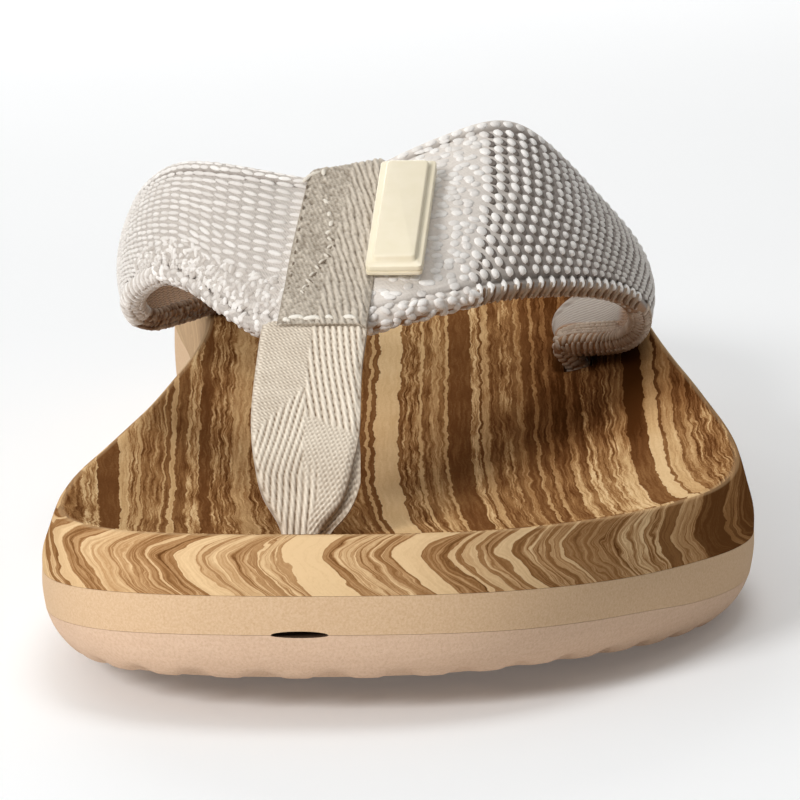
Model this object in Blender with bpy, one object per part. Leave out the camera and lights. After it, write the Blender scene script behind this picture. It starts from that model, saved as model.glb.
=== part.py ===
"""A left thong sandal: three foam layers, a woven band with a toe post, and a bare badge plate.

The tables are in millimetres and the scene is in metres. "along" is the distance back from the toe
tip, "across" is measured from the middle of the sole's width, plus to the outer side, and "height"
is above the floor.
"""

import math

import bmesh
import bpy
import numpy as np
from mathutils import Matrix

MM = 0.001
NAME = "thong_sandal"

LENGTH = 268.0
GAP = 0.3  # between pieces that meet

# The widest outline of the sole, a row for each section: along, inner edge, outer edge.
OUTLINE = (
    (2.4, -31.4, 3.6),
    (9.0, -41.9, 16.1),
    (21.0, -48.4, 27.6),
    (40.0, -51.3, 39.3),
    (62.0, -50.9, 48.6),
    (86.0, -47.5, 51.5),
    (112.0, -42.1, 49.5),
    (140.0, -36.8, 45.1),
    (166.0, -34.3, 41.9),
    (192.0, -35.9, 40.3),
    (216.0, -39.1, 39.3),
    (238.0, -37.5, 36.3),
    (255.0, -27.4, 26.6),
)
TOE_TIP_ACROSS = -13.9
HEEL_END_ACROSS = -0.4
SPINE = (45.0, 223.0)  # the part of the middle line that the dished surfaces close on

# Heights of the lines that run round the sole: along, ground, seam, wood line, rim, dish depth.
LEVELS = (
    (0.0, 6.0, 12.9, 18.3, 26.5, 4.6),
    (8.0, 5.5, 11.9, 17.4, 25.6, 4.7),
    (18.0, 4.8, 10.9, 16.3, 24.7, 4.8),
    (30.0, 3.5, 9.7, 15.1, 23.6, 5.0),
    (45.0, 1.9, 7.9, 13.9, 22.5, 5.0),
    (60.0, 0.9, 6.8, 12.8, 21.9, 5.0),
    (80.0, 0.0, 6.0, 11.6, 21.9, 5.0),
    (110.0, 0.0, 6.0, 11.8, 23.2, 5.2),
    (134.0, 0.9, 6.4, 13.6, 25.3, 5.6),
    (160.0, 1.2, 7.2, 15.9, 27.0, 6.2),
    (186.0, 0.0, 7.6, 17.7, 28.0, 6.5),
    (216.0, 0.0, 7.8, 19.1, 29.5, 6.5),
    (250.0, 0.0, 7.9, 20.0, 30.6, 6.2),
    (268.0, 2.2, 8.4, 20.4, 31.0, 6.0),
)
GROUND, SEAM, WOOD_LINE, RIM, DISH = 1, 2, 3, 4, 5

# Wall sections: share of the layer's height, then how far the wall stands in from the outline.
OUTSOLE_WALL = ((0.0, 6.2), (0.05, 4.9), (0.28, 3.1), (0.62, 1.5), (1.0, 0.5))
MIDSOLE_WALL = ((0.0, 0.5), (0.3, 0.2), (0.65, 0.0), (1.0, 0.05))
FOOTBED_WALL = ((0.0, 0.05), (0.25, 0.1), (0.5, 0.75), (0.8, 1.6), (0.96, 2.15), (1.0, 2.7))

RIM_INSIDE = 3.6  # where the rim's flat top ends and the dish begins
DISH_RINGS = (0.06, 0.16, 0.3, 0.48, 0.7, 1.0)
DISH_REACH = 0.62  # share of the way to the middle where the dish has its full depth
TREAD_RINGS = (0.5, 1.0)
TREAD_INSIDE = 11.0
LUG_STEP = 3.4  # three steps of the outline make one edge lug
LUG_NOTCH = 1.1
LAYER_STEP = 6.8

# Cross grooves in the tread, each a wave: along of the first and the last, and their spacing.
GROOVE_ROWS = ((28.0, 120.0, 13.0), (190.0, 250.0, 13.0))
GROOVE_WIDTH = 3.0
GROOVE_DEPTH = 1.5
GROOVE_WAVE = 2.6
GROOVE_WAVELENGTH = 22.0
GROOVE_MARGIN = 13.0

SLIT_SIZE = (8.2, 5.0, 1.15)
SLIT_AT = (-14.4, 0.6)  # across, along

BAND_WALL = 3.0
# The band, a row for each section or fold from the inner slot over the foot to the outer slot:
# front edge across, along, height; back edge across, along, height; crown between them.
BAND = (
    ("inner root", -25.4, 186.0, 19.0, -25.4, 199.0, 19.4, 0.0),
    ("inner slot", -25.4, 185.5, 24.6, -25.4, 199.2, 25.0, 0.0),
    ("inner turn", -27.4, 181.5, 28.8, -27.6, 199.0, 29.3, 0.0),
    ("inner rise", -31.0, 173.0, 29.8, -32.3, 196.5, 31.2, 0.5),
    ("inner fold", -35.9, 154.0, 31.2, -39.0, 186.0, 33.0, 1.0),
    ("inner roll", -40.2, 133.0, 33.7, -42.4, 169.0, 37.5, 1.0),
    ("inner side", -41.5, 121.0, 38.4, -42.2, 154.0, 44.5, 1.5),
    ("inner shoulder", -38.8, 112.0, 42.3, -40.0, 139.0, 52.3, 2.0),
    ("inner top", -35.0, 105.0, 43.9, -35.0, 126.5, 58.2, 2.0),
    ("inner arm", -29.0, 96.0, 42.2, -29.6, 119.0, 59.9, 1.5),
    ("inner dip", -21.4, 80.0, 40.2, -20.3, 113.0, 59.0, 1.0),
    ("webbing", -12.6, 74.0, 41.0, -9.6, 112.0, 58.2, 0.5),
    ("outer dip", -4.4, 74.5, 42.4, -0.5, 115.0, 61.3, 1.0),
    ("outer arm", 6.0, 83.0, 43.4, 8.5, 121.0, 64.4, 2.0),
    ("outer crest", 14.0, 94.0, 43.3, 15.3, 127.0, 65.0, 2.0),
    ("outer fall", 21.5, 106.0, 42.0, 21.6, 135.0, 60.0, 2.0),
    ("outer shoulder", 28.5, 119.0, 39.8, 28.2, 147.0, 51.4, 2.0),
    ("outer side", 33.8, 130.0, 36.8, 34.2, 158.0, 43.2, 1.5),
    ("outer roll", 36.4, 139.0, 32.6, 37.4, 168.0, 36.4, 1.0),
    ("outer fold", 34.8, 146.0, 28.4, 37.0, 177.0, 31.2, 0.5),
    ("outer leg", 29.6, 153.0, 26.2, 30.5, 184.0, 29.3, 0.3),
    ("outer turn", 25.4, 156.5, 25.0, 25.6, 177.0, 26.4, 0.0),
    ("outer slot", 27.4, 157.0, 22.2, 27.4, 170.8, 22.8, 0.0),
    ("outer root", 27.6, 157.0, 17.4, 27.6, 170.0, 17.7, 0.0),
)
BAND_STEPS = 3  # sections drawn for each row above
# Half thickness across the band, from an edge inwards: the folded hem is a step in the wall.
BAND_EDGE = ((0.0, 0.7), (0.5, 1.6), (2.7, 1.75), (3.6, 1.4))

# Toe post and webbing up to the band: across, along, height, width, thickness.
POST = (
    (-14.9, 39.5, 15.2, 5.0, 3.0),
    (-14.9, 40.2, 19.3, 5.8, 2.9),
    (-14.6, 42.2, 22.7, 10.6, 2.4),
    (-14.5, 46.0, 27.2, 13.8, 2.1),
    (-14.4, 50.0, 30.2, 15.2, 1.8),
    (-14.3, 56.0, 34.0, 15.6, 1.8),
    (-13.9, 65.0, 39.0, 15.3, 1.8),
)
# Webbing on the band: share of the band's width from its front edge, lift off its middle, width,
# thickness. It then turns round the back edge, solid with it, and ends under the band.
WRAP = (
    (0.02, 2.3, 15.0, 1.7),
    (0.12, 2.2, 13.4, 1.7),
    (0.3, 2.1, 13.0, 1.7),
    (0.55, 2.1, 12.6, 1.7),
    (0.8, 2.1, 12.0, 1.7),
    (0.92, 2.0, 11.7, 1.9),
)
TURN_RADIUS = 1.65
TURN_INSIDE = 0.6
TURN_WIDTH = 11.6
TURN_THICKNESS = 2.7
TURN_ANGLES = (70, 35, 0, -35, -70, -90)
TUCK = ((0.92, -2.0, 11.6, 1.9), (0.84, -2.1, 11.6, 1.7))
WRAP_SECTION = 11.0  # row of BAND that the webbing crosses

SLOT_LENGTH = 15.4
SLOT_WIDTH = 4.6
POST_HOLE = 9.0
CUT_TOP = 40.0  # higher than the footbed, so a cutter runs right through

BADGE_SIZE = (8.4, 28.0, 1.7)
BADGE_FACE = (6.4, 25.6, 1.0)
BADGE_CORNER = 0.7
BADGE_SECTION = 12.2
BADGE_SHARE = 0.48
BADGE_LIFT = 3.0


def spline(knots, values, at):
    """Values at the places `at` on a natural cubic spline through the knots."""
    knots = np.asarray(knots, float)
    values = np.asarray(values, float)
    steps = np.diff(knots)
    slopes = np.diff(values, axis=0) / (steps if values.ndim == 1 else steps[:, None])
    count = len(knots)
    system = np.eye(count)
    right = np.zeros(values.shape)
    for i in range(1, count - 1):
        system[i, i - 1 : i + 2] = steps[i - 1], 2 * (steps[i - 1] + steps[i]), steps[i]
        right[i] = 6 * (slopes[i] - slopes[i - 1])
    bends = np.linalg.solve(system, right)
    i = np.clip(np.searchsorted(knots, at, side="right") - 1, 0, count - 2)
    h = steps[i]
    a = (knots[i + 1] - at) / h
    b = 1 - a
    if values.ndim == 2:
        h, a, b = h[:, None], a[:, None], b[:, None]
    curve = ((a**3 - a) * bends[i] + (b**3 - b) * bends[i + 1]) * h * h / 6
    return a * values[i] + b * values[i + 1] + curve


def distances(points):
    """Square-root chord length up to each point, which keeps a spline from overshooting."""
    steps = np.linalg.norm(np.diff(points, axis=0), axis=1)
    return np.concatenate([[0], np.cumsum(np.sqrt(steps))])


def level(column, along):
    """Height of one of the sole's lines, with no overshoot between the rows."""
    table = np.array(LEVELS)
    knots = table[:, 0]
    values = table[:, column]
    steps = np.diff(knots)
    rise = np.diff(values) / steps
    slopes = np.concatenate([rise[:1], np.zeros(len(rise) - 1), rise[-1:]])
    same = rise[1:] * rise[:-1] > 0
    total = np.where(same, rise[1:] + rise[:-1], 1)
    slopes[1:-1] = np.where(same, 2 * rise[1:] * rise[:-1] / total, 0)
    along = np.clip(along, 0, LENGTH)
    i = np.clip(np.searchsorted(knots, along, side="right") - 1, 0, len(knots) - 2)
    t = (along - knots[i]) / steps[i]
    start = values[i] * (1 + 2 * t) * (1 - t) ** 2 + slopes[i] * steps[i] * t * (1 - t) ** 2
    return start + values[i + 1] * t**2 * (3 - 2 * t) + slopes[i + 1] * steps[i] * t**2 * (t - 1)


def outline(count=2400):
    """The widest outline as evenly spaced points, (across, along), from the inner end of the spine
    round the toe, back along the outer side, round the heel and forward along the inner side."""
    rows = np.array(OUTLINE)
    outer = rows[:, [2, 0]]
    inner = rows[::-1, [1, 0]]
    points = np.vstack([[(TOE_TIP_ACROSS, 0.0)], outer, [(HEEL_END_ACROSS, LENGTH)], inner])
    wrapped = np.vstack([points[-6:], points, points[:7]])
    knots = distances(wrapped)
    at = np.linspace(knots[6], knots[6 + len(points)], count, endpoint=False)
    dense = spline(knots, wrapped, at)
    steps = np.linalg.norm(np.roll(dense, -1, axis=0) - dense, axis=1)
    reach = np.concatenate([[0], np.cumsum(steps)])
    closed = np.vstack([dense, dense[:1]])
    at = np.linspace(0, reach[-1], count, endpoint=False)
    even = np.stack([np.interp(at, reach, closed[:, k]) for k in (0, 1)], axis=1)
    start = next(
        i for i in range(count // 2, count) if even[i, 1] <= SPINE[0] and even[i, 0] < 0
    )
    return np.roll(even, -start, axis=0), reach[-1] / count


def loop(step):
    """Points round the outline about `step` apart, their outward directions, and the place on the
    spine that each one closes on. The two sides have as many points, so they close on one line."""
    curve, unit = outline()
    count = len(curve)
    tangent = np.roll(curve, -1, axis=0) - np.roll(curve, 1, axis=0)
    tangent /= np.linalg.norm(tangent, axis=1)[:, None]
    outward = np.stack([tangent[:, 1], -tangent[:, 0]], axis=1)
    outer = curve[:, 0] > 0
    toe_end = next(i for i in range(count) if outer[i] and curve[i, 1] >= SPINE[0])
    heel_start = next(i for i in range(count) if outer[i] and curve[i, 1] >= SPINE[1])
    heel_end = next(i for i in range(heel_start, count) if not outer[i] and curve[i, 1] <= SPINE[1])
    stops = (0, toe_end, heel_start, heel_end, count)
    thirds = [max(1, round((b - a) * unit / (3 * step))) for a, b in zip(stops, stops[1:])]
    thirds[3] = thirds[1]
    picks = [
        np.linspace(a, b, 3 * n, endpoint=False)
        for a, b, n in zip(stops, stops[1:], thirds)
    ]
    index = np.round(np.concatenate(picks)).astype(int) % count
    toe, side, heel = (3 * n for n in thirds[:3])
    points = curve[index]
    mate = toe + side + heel + side - (np.arange(side + 1))
    middle = (points[toe : toe + side + 1] + points[mate % len(index)]) / 2
    spine = np.empty_like(points)
    spine[:toe] = middle[0]
    spine[toe : toe + side + 1] = middle
    spine[toe + side : toe + side + heel + 1] = middle[-1]
    spine[toe + side + heel :] = middle[::-1][:side]
    return points, outward[index], spine


def ring(points, heights):
    return np.column_stack([points, heights])


def joint_ring(spine, column, lift):
    """Where a joint face between two layers closes: it is straight from here to the edge."""
    return ring(spine, level(column, spine[:, 1]) + lift)


def wall_rings(points, outward, wall, low, high):
    """Rings up a layer's side. `low` and `high` give a height from the distance along."""
    made = []
    for share, inset in wall:
        at = points - outward * inset
        made.append(ring(at, low(at[:, 1]) * (1 - share) + high(at[:, 1]) * share))
    return made


def new_object(name, mesh_maker, paint=None, cutter=False):
    mesh = bmesh.new()
    mesh_maker(mesh)
    bmesh.ops.recalc_face_normals(mesh, faces=mesh.faces)
    data = bpy.data.meshes.new(name)
    mesh.to_mesh(data)
    mesh.free()
    data.transform(Matrix.Scale(MM, 4) @ Matrix.Translation((0, -LENGTH / 2, 0)))
    made = bpy.data.objects.new(name, data)
    collection_named("cutters" if cutter else NAME).objects.link(made)
    if cutter:
        made.hide_render = True
        made.display_type = "WIRE"
    if paint:
        data.materials.append(paint)
    return made


def collection_named(name):
    found = bpy.data.collections.get(name)
    if not found:
        found = bpy.data.collections.new(name)
        bpy.context.scene.collection.children.link(found)
    return found


def loft(mesh, rings, caps=False):
    """Joins closed rings of as many points. With caps, the first and last rings are filled."""
    rows = [[mesh.verts.new(point) for point in points] for points in rings]
    for low, high in zip(rows, rows[1:]):
        for i in range(len(low)):
            j = (i + 1) % len(low)
            mesh.faces.new((low[i], low[j], high[j], high[i]))
    if caps:
        mesh.faces.new(rows[0][::-1])
        mesh.faces.new(rows[-1])
    bmesh.ops.remove_doubles(mesh, verts=mesh.verts, dist=1e-5)


def subtract(target, cutter, name):
    cut = target.modifiers.new(name, "BOOLEAN")
    cut.operation = "DIFFERENCE"
    cut.solver = "EXACT"
    cut.object = cutter


def material(name, colour, roughness):
    made = bpy.data.materials.new(name)
    made.use_nodes = True
    shader = made.node_tree.nodes["Principled BSDF"]
    shader.inputs["Base Color"].default_value = (*colour, 1)
    shader.inputs["Roughness"].default_value = roughness
    return made


def outsole(paint):
    """Lower layer: rolled edge with notched lugs, and a tread that lies on the floor."""
    points, outward, spine = loop(LUG_STEP)
    notch = LUG_NOTCH * (np.arange(len(points)) % 3 == 0)
    inside = points - outward * TREAD_INSIDE
    rings = []
    for share in TREAD_RINGS[::-1]:
        at = inside + (spine - inside) * share
        rings.append(ring(at, level(GROUND, at[:, 1])))
    rings.append(ring(inside, level(GROUND, inside[:, 1])))
    walls = wall_rings(
        points,
        outward,
        OUTSOLE_WALL,
        lambda along: level(GROUND, along),
        lambda along: level(SEAM, along) - GAP / 2,
    )
    for lowest in walls[:2]:
        lowest[:, 2] += notch
    rings += walls
    rings.append(joint_ring(spine, SEAM, -GAP / 2))
    return new_object("outsole", lambda mesh: loft(mesh, rings), paint)


def midsole(paint):
    """Middle layer, from the seam up to the wood line."""
    points, outward, spine = loop(LAYER_STEP)
    walls = wall_rings(
        points,
        outward,
        MIDSOLE_WALL,
        lambda along: level(SEAM, along) + GAP / 2,
        lambda along: level(WOOD_LINE, along) - GAP / 2,
    )
    low = joint_ring(spine, SEAM, GAP / 2)
    high = joint_ring(spine, WOOD_LINE, -GAP / 2)
    return new_object("midsole", lambda mesh: loft(mesh, [low, *walls, high]), paint)


def footbed(paint):
    """Top layer: a crisp rim round a dish that holds the foot."""
    points, outward, spine = loop(LAYER_STEP)
    rings = [joint_ring(spine, WOOD_LINE, GAP / 2)]
    rings += wall_rings(
        points,
        outward,
        FOOTBED_WALL,
        lambda along: level(WOOD_LINE, along) + GAP / 2,
        lambda along: level(RIM, along),
    )
    inside = points - outward * RIM_INSIDE
    rings.append(ring(inside, level(RIM, inside[:, 1])))
    for share in DISH_RINGS:
        at = inside + (spine - inside) * share
        sunk = 1 - (1 - min(share / DISH_REACH, 1)) ** 2
        rings.append(ring(at, level(RIM, at[:, 1]) - level(DISH, at[:, 1]) * sunk))
    return new_object("footbed", lambda mesh: loft(mesh, rings), paint)


def groove_cutters():
    """Wave-shaped bars under the tread, one mesh."""
    curve, _ = outline()
    outer = curve[curve[:, 0] > 0]
    inner = curve[curve[:, 0] <= 0]

    def make(mesh):
        for first, last, spacing in GROOVE_ROWS:
            for along in np.arange(first, last, spacing):
                right = outer[np.abs(outer[:, 1] - along).argmin(), 0] - GROOVE_MARGIN
                left = inner[np.abs(inner[:, 1] - along).argmin(), 0] + GROOVE_MARGIN
                across = np.linspace(left, right, 8)
                wave = along + GROOVE_WAVE * np.sin(across / GROOVE_WAVELENGTH * math.tau)
                floor = level(GROUND, wave)
                rings = []
                for x, y, z in zip(across, wave, floor):
                    front, back = y - GROOVE_WIDTH / 2, y + GROOVE_WIDTH / 2
                    top, foot = z + GROOVE_DEPTH, z - 2
                    rings.append(((x, front, foot), (x, back, foot), (x, back, top), (x, front, top)))
                loft(mesh, rings, caps=True)

    return new_object("groove_bars", make, cutter=True)


def slit_cutter():
    """A flat lens in the seam at the toe."""
    across, along = SLIT_AT
    height = level(SEAM, np.array([along]))[0]

    def make(mesh):
        bmesh.ops.create_uvsphere(mesh, u_segments=16, v_segments=8, radius=0.5)
        bmesh.ops.scale(mesh, vec=SLIT_SIZE, verts=mesh.verts)
        bmesh.ops.translate(mesh, vec=(across, along, height), verts=mesh.verts)

    return new_object("slit_lens", make, cutter=True)


def slot_cutters():
    """The two strap slots and the toe-post hole, right through the footbed."""
    roots = (BAND[0], BAND[-1])

    def make(mesh):
        for _, x, front, _, _, back, _, _ in roots:
            made = bmesh.ops.create_cube(mesh, size=1)["verts"]
            bmesh.ops.scale(mesh, vec=(SLOT_WIDTH, SLOT_LENGTH, CUT_TOP), verts=made)
            bmesh.ops.translate(mesh, vec=(x, (front + back) / 2, CUT_TOP / 2), verts=made)
        radius = POST_HOLE / 2
        made = bmesh.ops.create_cone(
            mesh, cap_ends=True, segments=16, radius1=radius, radius2=radius, depth=CUT_TOP
        )["verts"]
        bmesh.ops.translate(mesh, vec=(POST[0][0], POST[0][1], CUT_TOP / 2), verts=made)

    return new_object("strap_holes", make, cutter=True)


def band_edges(section):
    """Front edge, back edge and crown at places counted in rows of BAND."""
    rows = np.array([row[1:] for row in BAND])
    middle = (rows[:, 0:3] + rows[:, 3:6]) / 2
    knots = distances(middle)
    at = np.interp(section, np.arange(len(rows)), knots)
    values = spline(knots, rows, at)
    return values[:, 0:3], values[:, 3:6], values[:, 6]


def band_point(section, share, lift=0.0):
    """Points on the band's middle surface: `share` runs from the front edge to the back edge."""
    section = np.atleast_1d(np.asarray(section, float))

    def surface(at, part):
        front, back, crown = band_edges(at)
        after, before = band_edges(at + 0.05), band_edges(at - 0.05)
        run = after[0] - before[0] + after[1] - before[1]
        up = np.cross(run, back - front)
        up /= np.linalg.norm(up, axis=1)[:, None]
        bow = np.clip(4 * part * (1 - part), 0, 1)
        return front + (back - front) * part + up * (crown * bow)[:, None]

    last = len(BAND) - 1
    section = np.clip(section, 0.06, last - 0.06)
    here = surface(section, share)
    run = surface(section + 0.05, share) - surface(section - 0.05, share)
    across = surface(section, share + 0.02) - surface(section, share - 0.02)
    up = np.cross(run, across)
    up /= np.linalg.norm(up, axis=1)[:, None]
    run /= np.linalg.norm(run, axis=1)[:, None]
    return here + up * np.reshape(lift, (-1, 1)), run, up


def band_mesh(mesh):
    """Closed sections of the band's wall, joined from slot to slot."""
    count = (len(BAND) - 1) * BAND_STEPS + 1
    sections = np.linspace(0, len(BAND) - 1, count)
    rings = []
    for section in sections:
        front, back, _ = band_edges(np.array([section]))
        width = np.linalg.norm(back - front)
        shares = [distance / width for distance, _ in BAND_EDGE]
        halves = [half for _, half in BAND_EDGE]
        shares = shares + [0.5] + [1 - share for share in shares[::-1]]
        halves = halves + [BAND_WALL / 2] + halves[::-1]
        top = [band_point(section, s, h)[0][0] for s, h in zip(shares, halves)]
        low = [band_point(section, s, -h)[0][0] for s, h in zip(shares, halves)]
        rings.append(top + low[::-1])
    loft(mesh, rings, caps=True)


def tape_section(centre, side, up, width, thickness):
    """One closed section of the webbing, with eased corners."""
    half, thick = width / 2, thickness / 2
    ease = min(0.5, thick * 0.6)
    corners = (
        (-half, -thick + ease),
        (-half + ease, -thick),
        (half - ease, -thick),
        (half, -thick + ease),
        (half, thick - ease),
        (half - ease, thick),
        (-half + ease, thick),
        (-half, thick - ease),
    )
    return [centre + side * a + up * b for a, b in corners]


def wrap_rows():
    """The webbing's path on the band, and the direction along the band under it."""
    front, back, _ = band_edges(np.array([WRAP_SECTION]))
    chord = (back - front)[0] / np.linalg.norm(back - front)
    edge, run, up = (found[0] for found in band_point(WRAP_SECTION, 0.999))
    rows = []
    for share, lift, width, thickness in WRAP:
        rows.append((*band_point(WRAP_SECTION, share, lift)[0][0], width, thickness))
    for angle in np.radians(TURN_ANGLES):
        past = TURN_RADIUS * math.cos(angle) - TURN_INSIDE
        place = edge + chord * past + up * TURN_RADIUS * math.sin(angle)
        rows.append((*place, TURN_WIDTH, TURN_THICKNESS))
    for share, lift, width, thickness in TUCK:
        rows.append((*band_point(WRAP_SECTION, share, lift)[0][0], width, thickness))
    return rows, run


def webbing_mesh(mesh):
    """The toe post, the tape up to the band, over it and round its back edge."""
    wrap, side = wrap_rows()
    rows = np.array([*POST, *wrap])
    knots = distances(rows[:, :3])
    at = np.concatenate([np.linspace(a, b, 2, endpoint=False) for a, b in zip(knots, knots[1:])])
    at = np.append(at, knots[-1])
    drawn = spline(knots, rows, at)
    ahead = spline(knots, rows, np.clip(at + 0.02, 0, knots[-1]))[:, :3]
    behind = spline(knots, rows, np.clip(at - 0.02, 0, knots[-1]))[:, :3]
    turn_end = knots[len(POST)]
    rings = []
    for i, row in enumerate(drawn):
        run = ahead[i] - behind[i]
        run /= np.linalg.norm(run)
        blend = min(at[i] / turn_end, 1)
        level_side = np.array([1.0, 0.0, 0.0]) * (1 - blend) + side * blend
        level_side -= run * np.dot(level_side, run)
        level_side /= np.linalg.norm(level_side)
        up = np.cross(level_side, run)
        rings.append(tape_section(row[:3], level_side, up, row[3], row[4]))
    loft(mesh, rings, caps=True)


def upper(paint):
    """The band and the webbing, one solid where they cross."""
    band = new_object("upper", band_mesh, paint)
    tape = new_object("webbing_tape", webbing_mesh, cutter=True)
    join = band.modifiers.new("webbing", "BOOLEAN")
    join.operation = "UNION"
    join.solver = "MANIFOLD"
    join.object = tape
    return band


def badge(paint):
    """A bare plate with a raised face, lying on the band beside the webbing."""
    centre, _, up = (found[0] for found in band_point(BADGE_SECTION, BADGE_SHARE, BADGE_LIFT))
    front, back, _ = (found[0] for found in band_edges(np.array([BADGE_SECTION])))
    length = back - front
    length -= up * np.dot(length, up)
    length /= np.linalg.norm(length)
    side = np.cross(length, up)

    def make(mesh):
        base = bmesh.ops.create_cube(mesh, size=1)["verts"]
        bmesh.ops.scale(mesh, vec=BADGE_SIZE, verts=base)
        top = max(mesh.faces, key=lambda face: face.calc_center_median().z)
        inset = (BADGE_SIZE[0] - BADGE_FACE[0]) / 2
        bmesh.ops.inset_region(mesh, faces=[top], thickness=inset)
        raised = bmesh.ops.extrude_face_region(mesh, geom=[top])["geom"]
        lifted = [item for item in raised if isinstance(item, bmesh.types.BMVert)]
        bmesh.ops.translate(mesh, vec=(0, 0, BADGE_FACE[2]), verts=lifted)
        bmesh.ops.delete(mesh, geom=[top], context="FACES_ONLY")
        upright = [
            edge
            for edge in mesh.edges
            if abs((edge.verts[0].co - edge.verts[1].co).normalized().z) > 0.9
        ]
        bmesh.ops.bevel(mesh, geom=upright, offset=BADGE_CORNER, segments=2, affect="EDGES")
        for vert in mesh.verts:
            x, y, z = vert.co
            vert.co = centre + side * x + length * y + up * z

    return new_object("badge", make, paint)


def build():
    for old in list(bpy.data.objects):
        bpy.data.objects.remove(old)
    foam = material("foam_beige", (0.71, 0.49, 0.3), 0.8)
    foam_low = material("foam_rough", (0.66, 0.45, 0.3), 0.9)
    wood = material("foam_wood_look", (0.34, 0.19, 0.09), 0.7)
    woven = material("woven_yarn", (0.62, 0.57, 0.51), 0.9)
    plate = material("plate_cream", (0.86, 0.75, 0.53), 0.45)

    lower = outsole(foam_low)
    subtract(lower, groove_cutters(), "tread grooves")
    middle = midsole(foam)
    slit = slit_cutter()
    subtract(lower, slit, "slit")
    subtract(middle, slit, "slit")
    top = footbed(wood)
    subtract(top, slot_cutters(), "strap holes")
    upper(woven)
    badge(plate)
    for piece in collection_named(NAME).objects:
        piece.data.shade_smooth()
        piece.data.set_sharp_from_angle(angle=math.radians(35))


build()
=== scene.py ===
"""Looks of a left thong sandal: foam layers, a woven band, webbing at the toe and a bare plate.

The tables are in millimetres and the scene is in metres. "along" is the distance back from the toe
tip, "across" is measured from the middle of the sole's width, plus to the outer side, and "height"
is above the floor.
"""

import math

import bpy
import bmesh
import numpy as np
from mathutils import Matrix, Vector


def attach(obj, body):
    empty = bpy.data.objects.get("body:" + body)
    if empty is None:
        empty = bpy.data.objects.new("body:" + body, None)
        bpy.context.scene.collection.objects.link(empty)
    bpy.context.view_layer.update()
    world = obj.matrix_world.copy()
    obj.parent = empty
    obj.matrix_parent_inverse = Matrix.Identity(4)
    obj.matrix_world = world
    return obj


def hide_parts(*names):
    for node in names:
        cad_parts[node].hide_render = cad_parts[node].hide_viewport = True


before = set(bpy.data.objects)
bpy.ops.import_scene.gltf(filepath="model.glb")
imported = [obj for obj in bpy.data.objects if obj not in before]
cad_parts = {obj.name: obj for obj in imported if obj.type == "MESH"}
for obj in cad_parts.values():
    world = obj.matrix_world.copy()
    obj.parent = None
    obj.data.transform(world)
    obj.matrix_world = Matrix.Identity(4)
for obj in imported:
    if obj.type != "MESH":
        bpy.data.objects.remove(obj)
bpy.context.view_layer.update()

MM = 0.001
LENGTH = 268.0
GAP = 0.04  # between layers that meet
chance = np.random.default_rng(11)
between = chance.uniform
about = chance.normal

# ---------------------------------------------------------------- sizes shared with the solids

# The widest outline of the sole, a row for each section: along, inner edge, outer edge.
OUTLINE = (
    (2.4, -31.4, 3.6),
    (9.0, -41.9, 16.1),
    (21.0, -48.4, 27.6),
    (40.0, -51.3, 39.3),
    (62.0, -50.9, 48.6),
    (86.0, -47.5, 51.5),
    (112.0, -42.1, 49.5),
    (140.0, -36.8, 45.1),
    (166.0, -34.3, 41.9),
    (192.0, -35.9, 40.3),
    (216.0, -39.1, 39.3),
    (238.0, -37.5, 36.3),
    (255.0, -27.4, 26.6),
)
TOE_TIP_ACROSS = -13.9
HEEL_END_ACROSS = -0.4
SPINE = (45.0, 223.0)  # the layers close on a middle line between these places along

# Heights of the lines that run round the sole: along, ground, seam, wood line, rim, dish depth.
LEVELS = (
    (0.0, 6.0, 12.9, 18.3, 26.5, 4.6),
    (8.0, 5.5, 11.9, 17.4, 25.6, 4.7),
    (18.0, 4.8, 10.9, 16.3, 24.7, 4.8),
    (30.0, 3.5, 9.7, 15.1, 23.6, 5.0),
    (45.0, 1.9, 7.9, 13.9, 22.5, 5.0),
    (60.0, 0.9, 6.8, 12.8, 21.9, 5.0),
    (80.0, 0.0, 6.0, 11.6, 21.9, 5.0),
    (110.0, 0.0, 6.0, 11.8, 23.2, 5.2),
    (134.0, 0.9, 6.4, 13.6, 25.3, 5.6),
    (160.0, 1.2, 7.2, 15.9, 27.0, 6.2),
    (186.0, 0.0, 7.6, 17.7, 28.0, 6.5),
    (216.0, 0.0, 7.8, 19.1, 29.5, 6.5),
    (250.0, 0.0, 7.9, 20.0, 30.6, 6.2),
    (268.0, 2.2, 8.4, 20.4, 31.0, 6.0),
)
GROUND, SEAM, WOOD_LINE, RIM, DISH = 1, 2, 3, 4, 5

# Sections of the walls, from below: share of the height, inset from the widest outline.
OUTSOLE_WALL = ((0.0, 6.2), (0.05, 4.9), (0.28, 3.1), (0.62, 1.5), (1.0, 0.5))
MIDSOLE_WALL = ((0.0, 0.5), (0.3, 0.2), (0.65, 0.0), (1.0, 0.05))
FOOTBED_WALL = ((0.0, 0.05), (0.25, 0.1), (0.5, 0.75), (0.8, 1.6), (0.96, 2.15), (1.0, 2.7))
RIM_INSIDE = 3.6  # from the outline to the dish
DISH_REACH = 0.62  # share of the way in at which the dish has its full depth
TREAD_INSIDE = 11.0  # from the outline to the flat of the tread
TREAD_EDGE = (9.0, 7.4)  # and to its turn up into the wall
LUG_STEP = 3.4  # a third of a lug
LUG_NOTCH = 1.1  # height of the notch between two lugs
NOTCH_REACH = 1.1  # in steps, to each side
NOTCH_END = 0.3  # share of the wall's height where the lugs end
LAYER_STEP = 6.8

# Wavy grooves under the forefoot and the heel: first and last place along, spacing.
GROOVE_ROWS = ((28.0, 120.0, 13.0), (190.0, 250.0, 13.0))
GROOVE_WIDTH = 3.0
GROOVE_DEPTH = 1.5
GROOVE_WAVE = 2.6
GROOVE_WAVELENGTH = 22.0
GROOVE_MARGIN = 13.0
GROOVE_DRAFT = 0.4

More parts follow.
